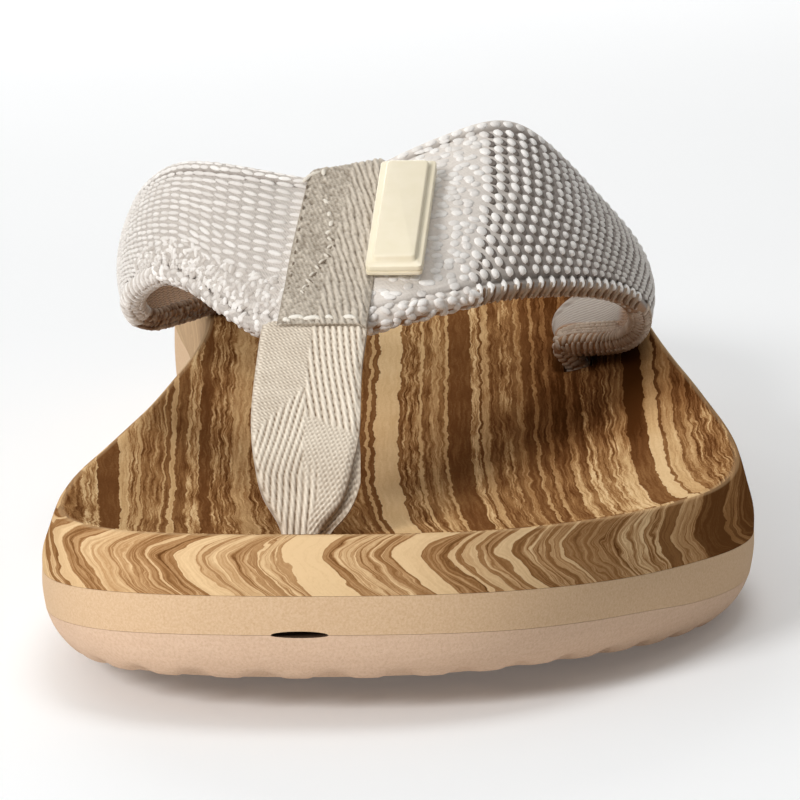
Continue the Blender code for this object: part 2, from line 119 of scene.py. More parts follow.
SLIT_SIZE = (7.8, 5.0, 1.2)
SLIT_FLAT = 0.6  # of the slit's lower half
SLIT_AT = (-14.4, 0.6)

# The band, a row for each section or fold from the inner slot over the foot to the outer slot:
# front edge across, along, height; back edge across, along, height; crown between them.
BAND = (
    (-25.4, 186.0, 19.0, -25.4, 199.0, 19.4, 0.0),
    (-25.4, 185.5, 24.6, -25.4, 199.2, 25.0, 0.0),
    (-27.4, 181.5, 28.8, -27.6, 199.0, 29.3, 0.0),
    (-31.0, 173.0, 29.8, -32.3, 196.5, 31.2, 0.5),
    (-35.9, 154.0, 31.2, -39.0, 186.0, 33.0, 1.0),
    (-40.2, 133.0, 33.7, -42.4, 169.0, 37.5, 1.0),
    (-41.5, 121.0, 38.4, -42.2, 154.0, 44.5, 1.5),
    (-38.8, 112.0, 42.3, -40.0, 139.0, 52.3, 2.0),
    (-35.0, 105.0, 43.9, -35.0, 126.5, 58.2, 2.0),
    (-29.0, 96.0, 42.2, -29.6, 119.0, 59.9, 1.5),
    (-21.4, 80.0, 40.2, -20.3, 113.0, 59.0, 1.0),
    (-12.6, 74.0, 41.0, -9.6, 112.0, 58.2, 0.5),
    (-4.4, 74.5, 42.4, -0.5, 115.0, 61.3, 1.0),
    (6.0, 83.0, 43.4, 8.5, 121.0, 64.4, 2.0),
    (14.0, 94.0, 43.3, 15.3, 127.0, 65.0, 2.0),
    (21.5, 106.0, 42.0, 21.6, 135.0, 60.0, 2.0),
    (28.5, 119.0, 39.8, 28.2, 147.0, 51.4, 2.0),
    (33.8, 130.0, 36.8, 34.2, 158.0, 43.2, 1.5),
    (36.4, 139.0, 32.6, 37.4, 168.0, 36.4, 1.0),
    (34.8, 146.0, 28.4, 37.0, 177.0, 31.2, 0.5),
    (29.6, 153.0, 26.2, 30.5, 184.0, 29.3, 0.3),
    (25.4, 156.5, 25.0, 25.6, 177.0, 26.4, 0.0),
    (27.4, 157.0, 22.2, 27.4, 170.8, 22.8, 0.0),
    (27.6, 157.0, 17.4, 27.6, 170.0, 17.7, 0.0),
)
BAND_WALL = 3.0
LAST_ROW = len(BAND) - 1

# Toe post and webbing up to the band: across, along, height, width, thickness.
POST = (
    (-14.9, 39.5, 15.2, 5.0, 3.0),
    (-14.9, 40.2, 19.3, 5.8, 2.9),
    (-14.6, 42.2, 22.7, 10.6, 2.4),
    (-14.5, 46.0, 27.2, 13.8, 2.1),
    (-14.4, 50.0, 30.2, 15.2, 1.8),
    (-14.3, 56.0, 34.0, 15.6, 1.8),
    (-13.9, 65.0, 39.0, 15.3, 1.8),
)
# The webbing over the band, and its tuck under the back edge: share of the band's width, lift,
# width, thickness. Between them it turns round the back edge.
WRAP = (
    (0.02, 2.3, 15.0, 1.7),
    (0.12, 2.2, 13.4, 1.7),
    (0.3, 2.1, 13.0, 1.7),
    (0.55, 2.1, 12.6, 1.7),
    (0.8, 2.1, 12.0, 1.7),
    (0.92, 2.0, 11.7, 1.9),
)
TUCK = ((0.92, -2.0, 11.6, 1.9), (0.84, -2.1, 11.6, 1.7))
TURN_RADIUS = 1.65
TURN_INSIDE = 0.6
TURN_WIDTH = 11.6
TURN_THICKNESS = 2.7
TURN_ANGLES = (70, 35, 0, -35, -70, -90)
WRAP_SECTION = 11.0

SLOT_LENGTH = 15.4
SLOT_WIDTH = 4.6
POST_HOLE = 9.0
CUT_TOP = 40.0

BADGE_SIZE = (8.4, 28.0)
BADGE_FACE = (6.4, 25.6)
BADGE_THICKNESS = 1.7  # without the raised face
BADGE_CORNER = 0.7
BADGE_SECTION = 12.2
BADGE_SHARE = 0.48
BADGE_LIFT = 3.0

# ---------------------------------------------------------------- node trees


def sum_of(operation, flipped=False):
    """A method of Line that adds one Math node."""

    def added(self, other):
        terms = (other, self) if flipped else (self, other)
        return self.math(operation, *terms)

    return added


class Line:
    """One value in a node tree. Sums on it add Math nodes."""

    def __init__(self, tree, socket):
        self.tree = tree
        self.socket = socket

    def math(self, operation, *terms, clamp=False):
        settings = {"operation": operation, "use_clamp": clamp}
        return self.tree.add("ShaderNodeMath", settings, dict(enumerate(terms)))

    __add__ = sum_of("ADD")
    __radd__ = sum_of("ADD", flipped=True)
    __sub__ = sum_of("SUBTRACT")
    __rsub__ = sum_of("SUBTRACT", flipped=True)
    __mul__ = sum_of("MULTIPLY")
    __rmul__ = sum_of("MULTIPLY", flipped=True)
    __truediv__ = sum_of("DIVIDE")
    __rtruediv__ = sum_of("DIVIDE", flipped=True)

    def above(self, edge, soft=0.0):
        """0 below the edge and 1 above it, eased over `soft` to each side."""
        if not soft:
            return self.math("GREATER_THAN", self, edge)
        low = edge - soft
        return self.math("MULTIPLY", self - low, 1 / (2 * soft), clamp=True)

    def clamp(self):
        return self.math("ADD", self, 0.0, clamp=True)

    def sin(self):
        return self.math("SINE", self)

    def out(self, name):
        return Line(self.tree, self.socket.node.outputs[name])


class Tree:
    """Builds one node tree."""

    def __init__(self, nodes):
        self.nodes = nodes.nodes
        self.links = nodes.links

    def add(self, kind, settings=None, sockets=None):
        """A node of any kind: its settings first, then the values or links of its sockets."""
        node = self.nodes.new(kind)
        for name, value in (settings or {}).items():
            if name == "stops":
                self.set_stops(node.color_ramp, value)
            elif name == "blend":
                node.color_ramp.interpolation = value
            else:
                setattr(node, name, value)
        for name, value in (sockets or {}).items():
            socket = node.inputs[name]
            if isinstance(value, Line):
                self.links.new(value.socket, socket)
            else:
                socket.default_value = value
        if node.outputs:
            return Line(self, next(found for found in node.outputs if found.enabled))
        return node

    def set_stops(self, ramp, stops):
        ramp.elements[0].position, ramp.elements[0].color = stops[0][0], (*stops[0][1], 1)
        ramp.elements.remove(ramp.elements[1])
        for place, colour in stops[1:]:
            ramp.elements.new(place).color = (*colour, 1)

    def mix(self, factor, a, b):
        """Colour a where the factor is 0 and b where it is 1."""
        settings = {"data_type": "RGBA", "clamp_factor": True}
        return self.add("ShaderNodeMix", settings, {0: factor, 6: wide(a), 7: wide(b)})

    def vector(self, x, y, z=0.0):
        return self.add("ShaderNodeCombineXYZ", {}, {0: x, 1: y, 2: z})

    def noise(self, place, scale, detail=2.0, rough=0.5, warp=0.0):
        sockets = {"Vector": place, "Scale": scale, "Detail": detail, "Roughness": rough}
        sockets["Distortion"] = warp
        return self.add("ShaderNodeTexNoise", {}, sockets)

    def drift(self, x, y, z=0.0, detail=3.0, rough=0.6):
        """Noise about 0 over numbers of the piece's own charts."""
        return self.noise(self.vector(x, y, z), 1.0, detail, rough) - 0.5

    def place(self):
        """Place on the object in millimetres."""
        spot = self.add("ShaderNodeTexCoord").out("Object")
        return self.add("ShaderNodeVectorMath", {"operation": "SCALE"}, {0: spot, "Scale": 1 / MM})

    def split(self, vector):
        """The three numbers of a vector."""
        parts = self.add("ShaderNodeSeparateXYZ", {}, {0: vector})
        return parts, parts.out("Y"), parts.out("Z")

    def chart(self, name):
        """The two numbers of one of the piece's own charts."""
        return self.split(self.add("ShaderNodeUVMap", {"uv_map": name}))[:2]

    def layer(self, name):
        return self.add("ShaderNodeAttribute", {"attribute_name": name}).out("Fac")


def wide(colour):
    """A colour as its socket wants it."""
    return (*colour, 1.0) if isinstance(colour, tuple) and len(colour) == 3 else colour


def tint(red, green, blue):
    """A screen colour, 0 to 255, as linear light."""
    shares = (channel / 255 for channel in (red, green, blue))
    return tuple(s / 12.92 if s <= 0.04045 else ((s + 0.055) / 1.055) ** 2.4 for s in shares)


def finish(title, roughness, dress, sheen=0.0, coat=0.0, specular=0.35):
    """A material. `dress` gives its colour, its roughness or None, the height of its bumps or None,
    their strength and their depth in millimetres."""
    made = bpy.data.materials.new(title)
    made.use_nodes = True
    tree = Tree(made.node_tree)
    shader = made.node_tree.nodes["Principled BSDF"]
    given = {"Roughness": roughness, "Specular IOR Level": specular, "Coat Weight": coat}
    given |= {"Sheen Weight": sheen, "Sheen Roughness": 0.5}
    for name, value in given.items():
        shader.inputs[name].default_value = value
    colour, rough, height, strength, depth = dress(tree)
    tree.links.new(colour.socket, shader.inputs["Base Color"])
    if rough:
        tree.links.new(rough.socket, shader.inputs["Roughness"])
    if height:
        sockets = {"Height": height, "Strength": strength, "Distance": depth * MM}
        bump = tree.add("ShaderNodeBump", {}, sockets)
        tree.links.new(bump.socket, shader.inputs["Normal"])
    return made


# ---------------------------------------------------------------- materials

# Stripes of the wood look: where each begins, how light it is, how much fine grain it carries.
# Round the wall they are counted across at the height where the chevrons point.
WALL_STRIPES = (
    (-60.0, 0.8, 0.3),
    (-51.3, 0.3, 0.4),
    (-50.6, 0.8, 0.3),
    (-50.1, 0.35, 0.4),
    (-49.5, 0.85, 0.1),
    (-47.5, 0.35, 0.5),
    (-44.4, 0.85, 0.1),
    (-43.9, 0.75, 0.4),
    (-41.2, 0.5, 0.7),
    (-36.0, 0.4, 0.4),
    (-35.4, 0.8, 0.1),
    (-34.9, 0.35, 0.3),
    (-33.9, 0.4, 0.8),
    (-32.5, 0.3, 0.2),
    (-31.7, 0.9, 0.1),
    (-28.8, 0.62, 0.5),
    (-27.6, 0.4, 0.1),
    (-27.0, 0.75, 0.4),
    (-24.0, 0.52, 0.7),
    (-21.0, 0.4, 0.2),
    (-20.3, 0.9, 0.0),
    (-20.0, 0.55, 0.9),
    (-17.9, 0.45, 0.2),
    (-17.3, 1.0, 0.0),
    (-11.6, 0.45, 0.4),
    (-10.3, 0.6, 1.0),
    (-4.2, 0.35, 0.2),
    (-3.4, 0.45, 0.6),
    (-2.2, 0.3, 0.1),
    (-1.7, 0.95, 0.0),
    (1.8, 0.35, 0.5),
    (5.6, 0.85, 0.1),
    (6.2, 0.35, 0.2),
    (7.1, 0.8, 0.3),
    (8.8, 0.35, 0.1),
    (9.5, 0.5, 0.6),
    (11.2, 0.3, 0.1),
    (12.1, 0.9, 0.1),
    (14.2, 0.3, 0.2),
    (15.5, 0.5, 1.0),
    (18.6, 0.3, 0.1),
    (19.3, 0.5, 0.5),
    (20.9, 0.85, 0.0),
    (21.5, 0.4, 0.3),
    (26.5, 0.48, 0.9),
    (30.0, 0.6, 1.0),
    (35.0, 0.22, 0.1),
    (37.3, 0.58, 0.4),
    (39.5, 0.45, 0.6),
    (41.0, 0.15, 0.1),
    (45.2, 0.5, 0.2),
    (45.8, 0.3, 0.1),
    (46.2, 0.5, 0.5),
    (47.3, 0.25, 0.2),
)
# On the top they are counted across at 100 mm from the toe.
TOP_STRIPES = (
    (-60.0, 0.45, 0.5),
    (-49.3, 0.7, 0.9),
    (-46.9, 0.3, 0.0),
    (-43.6, 0.8, 0.2),
    (-42.0, 0.6, 0.9),
    (-40.5, 0.75, 0.1),
    (-40.0, 0.5, 0.6),
    (-36.5, 0.75, 0.1),
    (-36.2, 0.4, 0.3),
    (-35.4, 0.8, 0.1),
    (-34.6, 0.38, 0.3),
    (-33.0, 0.65, 1.0),
    (-31.2, 0.3, 0.2),
    (-29.8, 0.5, 0.9),
    (-26.2, 0.7, 0.3),
    (-24.0, 0.5, 0.8),
    (-19.0, 0.58, 0.9),
    (-14.0, 0.5, 0.6),
    (-7.0, 0.35, 0.2),
    (-6.2, 0.75, 0.0),
    (-5.9, 0.35, 0.1),
    (-5.1, 0.92, 0.0),
    (-1.4, 0.4, 0.2),
    (-0.7, 0.5, 1.0),
    (1.7, 0.8, 0.1),
    (2.4, 0.45, 0.5),
    (3.6, 0.65, 0.4),
    (5.0, 0.5, 0.4),
    (5.8, 0.75, 0.1),
    (6.2, 0.3, 0.1),
    (10.0, 0.7, 0.9),
    (11.2, 0.3, 0.0),
    (11.6, 0.7, 0.3),
    (12.9, 0.38, 0.5),
    (14.6, 0.5, 0.8),
    (16.5, 0.4, 0.2),
    (17.2, 0.6, 0.3),
    (18.2, 0.35, 0.3),
    (19.7, 0.7, 0.2),
    (20.3, 0.4, 0.5),
    (21.8, 0.65, 0.2),
    (22.4, 0.42, 0.5),
    (24.8, 0.75, 0.5),
    (26.0, 0.5, 0.4),
    (27.2, 0.78, 1.0),
    (28.6, 0.6, 0.7),
    (30.5, 0.78, 1.0),
    (32.0, 0.85, 0.5),
    (33.9, 0.38, 0.1),
    (36.7, 0.95, 0.0),
    (38.6, 0.45, 0.3),
    (39.2, 0.8, 0.2),
    (41.0, 0.5, 0.5),
    (42.2, 0.65, 0.3),
    (43.0, 0.45, 1.0),
)
RAMP_STOPS = 30


def stripes(tree, place, table):
    """Tone and grain of the stripes at a place across, from ramps of up to RAMP_STOPS stripes."""
    colour = None
    for first in range(0, len(table), RAMP_STOPS):
        part = table[first : first + RAMP_STOPS]
        start, end = part[0][0], part[-1][0] + 1
        stops = [((at - start) / (end - start), (tone, grain, 0)) for at, tone, grain in part]
        share = (place - start) / (end - start)
        ramp = tree.add("ShaderNodeValToRGB", {"stops": stops, "blend": "CONSTANT"}, {0: share})
        colour = tree.mix(place.above(start), colour, ramp) if colour else ramp
    split = tree.add("ShaderNodeSeparateColor", {}, {0: colour})
    return split, split.out("Green")


def tone_colour(tree, tone, stops):
    """Colour of a tone from 0 to 1, between stops of a tone and a screen colour."""
    stops = [(at, tint(*colour)) for at, colour in stops]
    return tree.add("ShaderNodeValToRGB", {"stops": stops, "blend": "LINEAR"}, {0: tone})


TOP_TONES = (
    (0.0, (76, 43, 18)),
    (0.3, (112, 72, 40)),
    (0.55, (154, 112, 70)),
    (0.8, (202, 164, 116)),
    (1.0, (224, 192, 146)),
)
WALL_TONES = (
    (0.0, (98, 62, 32)),
    (0.3, (142, 101, 62)),
    (0.6, (184, 145, 102)),
    (1.0, (222, 190, 146)),
)


def dress_wood(tree):
    """Wood look printed on foam: stripes along the top that turn to chevrons down the wall."""
    across, share = tree.chart("wall")
    lane, along = tree.chart("top")
    spot = tree.place()
    on_top = share.above(1.0)

    ragged = tree.drift(lane * 0.16, along * 0.11)
    fine_jag = tree.drift(lane * 0.9, along * 0.26, rough=0.7)
    top_place = lane + ragged * 1.8 + fine_jag * 0.7
    swirl = tree.drift(across * 0.16, share * 1.5, 3.0, detail=2.0, rough=0.5)
    eddy = tree.drift(across * 0.4, share * 3.4, 7.0, detail=1.0, rough=0.5)
    wall_jag = tree.drift(across * 0.7, share * 5.0)
    wall_place = across + swirl * 2.6 + eddy * 2.2 + wall_jag * 0.8
    top_tone, top_grain = stripes(tree, top_place, TOP_STRIPES)
    wall_tone, wall_grain = stripes(tree, wall_place, WALL_STRIPES)

    top_lines = tree.noise(tree.vector(top_place * 2.2, along * 0.06), 1.0, 4.0, 0.7, 0.2)
    wall_lines = tree.noise(tree.vector(wall_place * 1.9, share * 0.7), 1.0, 4.0, 0.7, 0.4)
    top_tone = top_tone + (top_lines - 0.5) * (top_grain * 2.4 + 0.35)
    wall_tone = wall_tone + (wall_lines - 0.5) * (wall_grain * 2.7 + 0.45)
    patch = tree.noise(spot, 0.06, 3.0) - 0.5
    speck = tree.noise(spot, 2.6, 2.0, 0.7) - 0.5
    # painted shade: the stripes are darkened towards the heel on the outer side, where the band's
    # outer leg casts its shadow, and round the outer wall, which turns away from the light
    painted_shadow = lane.above(21.0, 4.0) * (1.0 - lane.above(36.0, 1.5)) * along.above(102.0, 16.0)
    painted_shadow = painted_shadow + lane.above(34.5, 1.5) * along.above(116.0, 14.0) * 0.7
    top_tone = (top_tone + patch * 0.22 + speck * 0.25 - painted_shadow * 0.4).clamp()
    wall_tone = (wall_tone + patch * 0.15 + speck * 0.2 - across.above(41.0, 5.0) * 0.2).clamp()

    top_colour = tone_colour(tree, top_tone, TOP_TONES)
    wall_colour = tone_colour(tree, wall_tone, WALL_TONES)
    back = tree.split(spot)[1].above(-10.0, 14.0)
    wall_colour = tree.mix(back * 0.75, wall_colour, tint(184, 158, 128))
    # painted highlight: a lighter line along the rim's edge, where the wall meets the top
    edge = share.above(0.975, 0.01) * (1.0 - share.above(1.1, 0.05))
    colour = tree.mix(on_top, wall_colour, top_colour)
    colour = tree.mix(edge * 0.3, colour, tint(206, 174, 132))
    height = speck + tree.mix(on_top, wall_lines, top_lines) * 0.5
    rough = 0.78 + patch * 0.1
    return colour, rough, height, 0.25, 0.12


def dress_foam(tree):
    """Smooth beige foam of the middle layer, faintly speckled."""
    spot = tree.place()
    cloud = tree.noise(spot, 0.05, 3.0) - 0.5
    speck = tree.noise(spot, 3.2, 2.0, 0.7)
    colour = tree.mix(cloud * 0.6 + 0.5, tint(206, 175, 141), tint(215, 185, 151))
    colour = tree.mix((speck - 0.5) * 1.6 + 0.22, colour, tint(186, 148, 108))
    return colour, 0.78 + cloud * 0.1, speck, 0.2, 0.08


def dress_rough_foam(tree):
    """Pinkish foam of the lower layer, with level streaks and a coarser speckle."""
    spot = tree.place()
    x, y, z = tree.split(spot)
    streak_place = tree.vector(x * 0.12, y * 0.12, z * 1.7)
    streak = tree.noise(streak_place, 1.0, 4.0, 0.65)
    speck = tree.noise(spot, 2.4, 3.0, 0.75)
    cloud = tree.noise(spot, 0.045, 2.0) - 0.5
    colour = tree.mix(streak, tint(206, 175, 148), tint(219, 190, 164))
    colour = tree.mix((speck - 0.42) * 1.5 + cloud * 0.2, colour, tint(178, 142, 112))
    return colour, 0.85 + cloud * 0.1, speck * 0.7 + streak * 0.5, 0.45, 0.16


def dress_slit(tree):
    spot = tree.place()
    speck = tree.noise(spot, 2.0, 2.0)
    return tree.mix(speck, tint(70, 50, 36), tint(96, 70, 50)), None, speck, 0.2, 0.1


def dress_yarn(share, dark, low, high, fuzz_scale, strength, depth):
    """Yarn by its tone, which counts for `share` beside the fuzz: from low at 0 to high at 1, and
    to dark below 0."""

    def dress(tree):
        tone = tree.layer("tone")
        fuzz = tree.noise(tree.place(), fuzz_scale, 2.0, 0.7)
        colour = tree.mix(tone * share + fuzz * (1 - share), low, high)
        colour = tree.mix(tone * -1.0, colour, dark)
        return colour, None, fuzz, strength, depth

    return dress


def dress_ground_weave(tree):
    """Taupe weft of the band between its white floats, painted lighter beside the plate for the
    light that falls there and darker on the outer arm, partly for the shade between its beads.
    """
    run, reach = tree.chart("cloth")
    row = (reach * (math.tau / 1.05) + (run * (math.pi / 3.2)).sin() * 0.9).sin()
    twist = ((run + reach * 0.7) * (math.tau / 0.55)).sin()
    fuzz = tree.noise(tree.place(), 2.6, 3.0, 0.7)
    # painted light: beside the plate the ground is lighter and its rows and twist fainter; painted
    # shade: on the outer arm it is darker between the beads
    near = run.above(126.0, 6.0)
    outer = (run * 0.09 - 14.0).clamp()
    row = row * (1.0 - near * 0.7)
    twist = twist * (1.0 - near * 0.8)
    shade = row * 0.14 + twist * 0.08 + fuzz * 0.6 + 0.15
    low = tree.mix(near, tint(170, 161, 153), tint(208, 199, 190))
    high = tree.mix(near, tint(216, 208, 200), tint(246, 239, 231))
    low = tree.mix(outer, low, tint(118, 109, 102))
    high = tree.mix(outer, high, tint(190, 180, 172))
    colour = tree.mix(shade, low, high)
    rope = (1.0 - reach.above(3.2, 0.5)) * (1.0 - run.above(90.0, 3.0))
    colour = tree.mix(rope * 0.75, colour, tint(132, 116, 102))
    # the hem of the outer arm is pale along the back and brown under the front
    colour = tree.mix(tree.layer("back_hem") * outer * 0.85, colour, tint(214, 205, 197))
    under = (1.0 - reach.above(1.1, 0.5)) * outer
    colour = tree.mix(under * 0.85, colour, tint(176, 140, 106))
    # painted shade in the hem's stitch groove
    colour = tree.mix(tree.layer("groove") * 0.65, colour, tint(112, 100, 90))
    return colour, None, row * 0.3 + twist * 0.2 + fuzz * 0.5, 0.55, 0.3


def dress_inner_weave(tree):
    """Inside of the band: coarse brown-grey weave."""
    run, reach = tree.chart("cloth")
    wave = (run * (math.tau / 3.2)).sin()
    row = (reach * (math.tau / 2.1) + wave * 1.4).sin()
    fuzz = tree.noise(tree.place(), 1.6, 3.0, 0.7)
    shade = row * 0.14 + fuzz * 0.9
    colour = tree.mix(shade, tint(120, 84, 56), tint(196, 156, 118))
    lining = (run * 0.4 - 91.4).clamp() * (reach * 0.7 - 6.4).clamp()
    twill = ((run * 0.8 + reach * 0.7) * (math.tau / 1.05)).sin()
    grain = twill * 0.2 + fuzz * 0.6 + 0.1
    colour = tree.mix(lining, colour, tree.mix(grain, tint(148, 135, 124), tint(198, 187, 176)))
    return colour, None, tree.mix(lining, row * 0.35, twill * 0.35) + fuzz * 0.5, 0.8, 0.4


def dress_float(tree):
    """White cotton floats, each a little different."""
    tone = tree.layer("tone")
    fuzz = tree.noise(tree.place(), 3.0, 2.0, 0.7)
    colour = tree.mix(tone, tint(200, 192, 184), tint(254, 251, 247))
    colour = tree.mix((fuzz - 0.4) * 0.6, colour, tint(200, 191, 182))
    colour = tree.mix(tone * -1.6, colour, tint(150, 139, 128))
    return colour, None, fuzz, 0.5, 0.2


def dress_bead_shadow(tree):
    """Painted shadow beside the beads of the outer arm, as flat grey floats."""
    fuzz = tree.noise(tree.place(), 3.0, 2.0, 0.7)
    return tree.mix(fuzz, tint(96, 87, 80), tint(146, 136, 127)), None, fuzz, 0.35, 0.1


def dress_webbing(light, dark):
    """Webbing that is light on its ribs and dark between them, where the dark is painted shade in
    the grooves.
    """

    def dress(tree):
        run, reach = tree.chart("cloth")
        relief = tree.layer("relief")
        twist = ((run + reach * 0.35) * (math.tau / 0.62)).sin()
        fuzz = tree.noise(tree.place(), 2.2, 3.0, 0.7)
        cloud = tree.noise(tree.place(), 0.18, 2.0) - 0.5
        # painted shade: the colour darkens with the relief, into the grooves between the ribs
        shade = relief * 1.15 + fuzz * 0.45 + twist * 0.1 - 0.45 + cloud * 0.3
        colour = tree.mix(shade, dark, light)
        return colour, None, twist * 0.25 + fuzz * 0.6, 0.5, 0.16

    return dress


def dress_plate(tree):
    spot = tree.place()
    cloud = tree.noise(spot, 0.35, 3.0)
    scratch = tree.noise(spot, 6.0, 2.0)
    colour = tree.mix(cloud, tint(231, 220, 190), tint(241, 231, 208))
    return colour, 0.3 + cloud * 0.14, scratch, 0.06, 0.05


def dress_floor(tree):
    spot = tree.place()
    cloud = tree.noise(spot, 0.004, 2.0)
    return tree.mix(cloud, (0.83, 0.843, 0.856), (0.87, 0.883, 0.896)), None, None, 0, 0


wood = finish("wood_look_foam", 0.75, dress_wood, specular=0.0)
foam = finish("smooth_beige_foam", 0.8, dress_foam, specular=0.15)
rough_foam = finish("rough_beige_foam", 0.88, dress_rough_foam, specular=0.12)
slit_shade = finish("slit_shade", 0.9, dress_slit)
ground_weave = finish("taupe_weft", 0.92, dress_ground_weave, sheen=0.15, specular=0.2)
inner_weave = finish("brown_inner_weave", 0.94, dress_inner_weave, sheen=0.1, specular=0.15)
float_yarn = finish("white_float_yarn", 0.85, dress_float, sheen=0.2, specular=0.25)
dress_brown_float = dress_yarn(
    0.6, tint(106, 74, 48), tint(150, 126, 104), tint(226, 210, 192), 3.0, 0.35, 0.15
)
# the thread's dark, below 0, is the painted shade of holes in the tape
dress_thread = dress_yarn(
    0.7, tint(104, 88, 70), tint(206, 196, 180), tint(250, 246, 236), 3.5, 0.3, 0.12
)
brown_yarn = finish("brown_lining_yarn", 0.88, dress_brown_float, sheen=0.1, specular=0.2)
# painted shadow beside the beads of the outer arm
bead_shadow_paint = finish("painted_bead_shadow", 0.9, dress_bead_shadow, sheen=0.1, specular=0.2)
thread = finish("stitch_thread", 0.7, dress_thread, sheen=0.1, specular=0.3)
lower_webbing = finish(
    "light_webbing", 0.9, dress_webbing(tint(246, 235, 217), tint(134, 112, 88)), sheen=0.2
)
upper_webbing = finish(
    "taupe_webbing", 0.9, dress_webbing(tint(208, 197, 181), tint(116, 102, 84)), sheen=0.2
)
plate_cream = finish("cream_plate", 0.35, dress_plate, coat=0.15, specular=0.5)
floor_paint = finish("pale_floor", 0.9, dress_floor)

# ---------------------------------------------------------------- curves and meshes


def spline(knots, values, at):
    """Values at the places `at` on a natural cubic spline through the knots."""
    knots = np.asarray(knots, float)
    values = np.asarray(values, float)
    steps = np.diff(knots)
    slopes = np.diff(values, axis=0) / (steps if values.ndim == 1 else steps[:, None])
    count = len(knots)
    system = np.eye(count)
    right = np.zeros(values.shape)
    for i in range(1, count - 1):
        system[i, i - 1 : i + 2] = steps[i - 1], 2 * (steps[i - 1] + steps[i]), steps[i]
        right[i] = 6 * (slopes[i] - slopes[i - 1])
    bends = np.linalg.solve(system, right)
    i = np.clip(np.searchsorted(knots, at, side="right") - 1, 0, count - 2)
    h = steps[i]
    a = (knots[i + 1] - at) / h
    b = 1 - a
    if values.ndim == 2:
        h, a, b = h[:, None], a[:, None], b[:, None]
    curve = ((a**3 - a) * bends[i] + (b**3 - b) * bends[i + 1]) * h * h / 6
    return a * values[i] + b * values[i + 1] + curve


def distances(points):
    """Square-root chord length up to each point, which keeps a spline from overshooting."""
    steps = np.linalg.norm(np.diff(points, axis=0), axis=1)
    return np.concatenate([[0], np.cumsum(np.sqrt(steps))])


def arc_lengths(points):
    """Length of the line through the points, up to each."""
    steps = np.linalg.norm(np.diff(points, axis=0), axis=1)
    return np.concatenate([[0], np.cumsum(steps)])


def unit(vectors):
    return vectors / np.linalg.norm(vectors, axis=-1, keepdims=True)


def look_up(table, at):
    """Values at places, from rows of a place and its value."""
    return np.interp(at, *np.array(table).T)


def level(column, along):
    """Height of one of the sole's lines, with no overshoot between the rows."""
    table = np.array(LEVELS)
    knots = table[:, 0]
    values = table[:, column]
    steps = np.diff(knots)
    rise = np.diff(values) / steps
    slopes = np.concatenate([rise[:1], np.zeros(len(rise) - 1), rise[-1:]])
    same = rise[1:] * rise[:-1] > 0
    total = np.where(same, rise[1:] + rise[:-1], 1)
    slopes[1:-1] = np.where(same, 2 * rise[1:] * rise[:-1] / total, 0)
    along = np.clip(along, 0, LENGTH)
    i = np.clip(np.searchsorted(knots, along, side="right") - 1, 0, len(knots) - 2)
    t = (along - knots[i]) / steps[i]
    start = values[i] * (1 + 2 * t) * (1 - t) ** 2 + slopes[i] * steps[i] * t * (1 - t) ** 2
    return start + values[i + 1] * t**2 * (3 - 2 * t) + slopes[i + 1] * steps[i] * t**2 * (t - 1)


def outline(count=7200):
    """The widest outline as evenly spaced points, (across, along), from the inner end of the spine
    round the toe, back along the outer side, round the heel and forward along the inner side."""
    rows = np.array(OUTLINE)
    outer = rows[:, [2, 0]]
    inner = rows[::-1, [1, 0]]
    points = np.vstack([[(TOE_TIP_ACROSS, 0.0)], outer, [(HEEL_END_ACROSS, LENGTH)], inner])
    lap = 6  # points repeated past the seam, so that the line is smooth there
    wrapped = np.vstack([points[-lap:], points, points[: lap + 1]])
    knots = distances(wrapped)
    at = np.linspace(knots[lap], knots[lap + len(points)], count, endpoint=False)
    dense = spline(knots, wrapped, at)
    closed = np.vstack([dense, dense[:1]])
    reach = arc_lengths(closed)
    at = np.linspace(0, reach[-1], count, endpoint=False)
    even = np.stack([np.interp(at, reach, closed[:, k]) for k in (0, 1)], axis=1)
    start = next(i for i in range(count // 2, count) if even[i, 1] <= SPINE[0] and even[i, 0] < 0)
    return np.roll(even, -start, axis=0), reach[-1] / count


def loop(step, finer):
    """Points round the outline, `finer` to each `step` of the solids, their outward directions, and
    the place on the spine that each one closes on."""
    curve, spacing = outline()
    count = len(curve)
    tangent = unit(np.roll(curve, -1, axis=0) - np.roll(curve, 1, axis=0))
    outward = np.stack([tangent[:, 1], -tangent[:, 0]], axis=1)
    outer = curve[:, 0] > 0
    toe_end = next(i for i in range(count) if outer[i] and curve[i, 1] >= SPINE[0])
    heel_start = next(i for i in range(count) if outer[i] and curve[i, 1] >= SPINE[1])
    heel_end = next(i for i in range(heel_start, count) if not outer[i] and curve[i, 1] <= SPINE[1])
    stops = (0, toe_end, heel_start, heel_end, count)
    thirds = [max(1, round((b - a) * spacing / (3 * step))) for a, b in zip(stops, stops[1:])]
    thirds[3] = thirds[1]
    counts = [3 * n * finer for n in thirds]
    picks = [np.linspace(a, b, n, endpoint=False) for a, b, n in zip(stops, stops[1:], counts)]
    index = np.round(np.concatenate(picks)).astype(int) % count
    toe, side, heel = counts[:3]
    points = curve[index]
    mate = toe + side + heel + side - (np.arange(side + 1))
    middle = (points[toe : toe + side + 1] + points[mate % len(index)]) / 2
    spine = np.empty_like(points)
    spine[:toe] = middle[0]
    spine[toe : toe + side + 1] = middle
    spine[toe + side : toe + side + heel + 1] = middle[-1]
    spine[toe + side + heel :] = middle[::-1][:side]
    return points, outward[index], spine


def level_ring(points, column, lift=0.0):
    """A ring at the height of one of the sole's lines."""
    return np.column_stack([points, level(column, points[:, 1]) + lift])


def eased(wall, count, height):
    """A wall section drawn through its points in `count` steps, for a wall of about this height:
    share and inset."""
    rows = np.array(wall)
    knots = distances(rows * (height, 1.0))
    return spline(knots, rows, np.linspace(0, knots[-1], count))


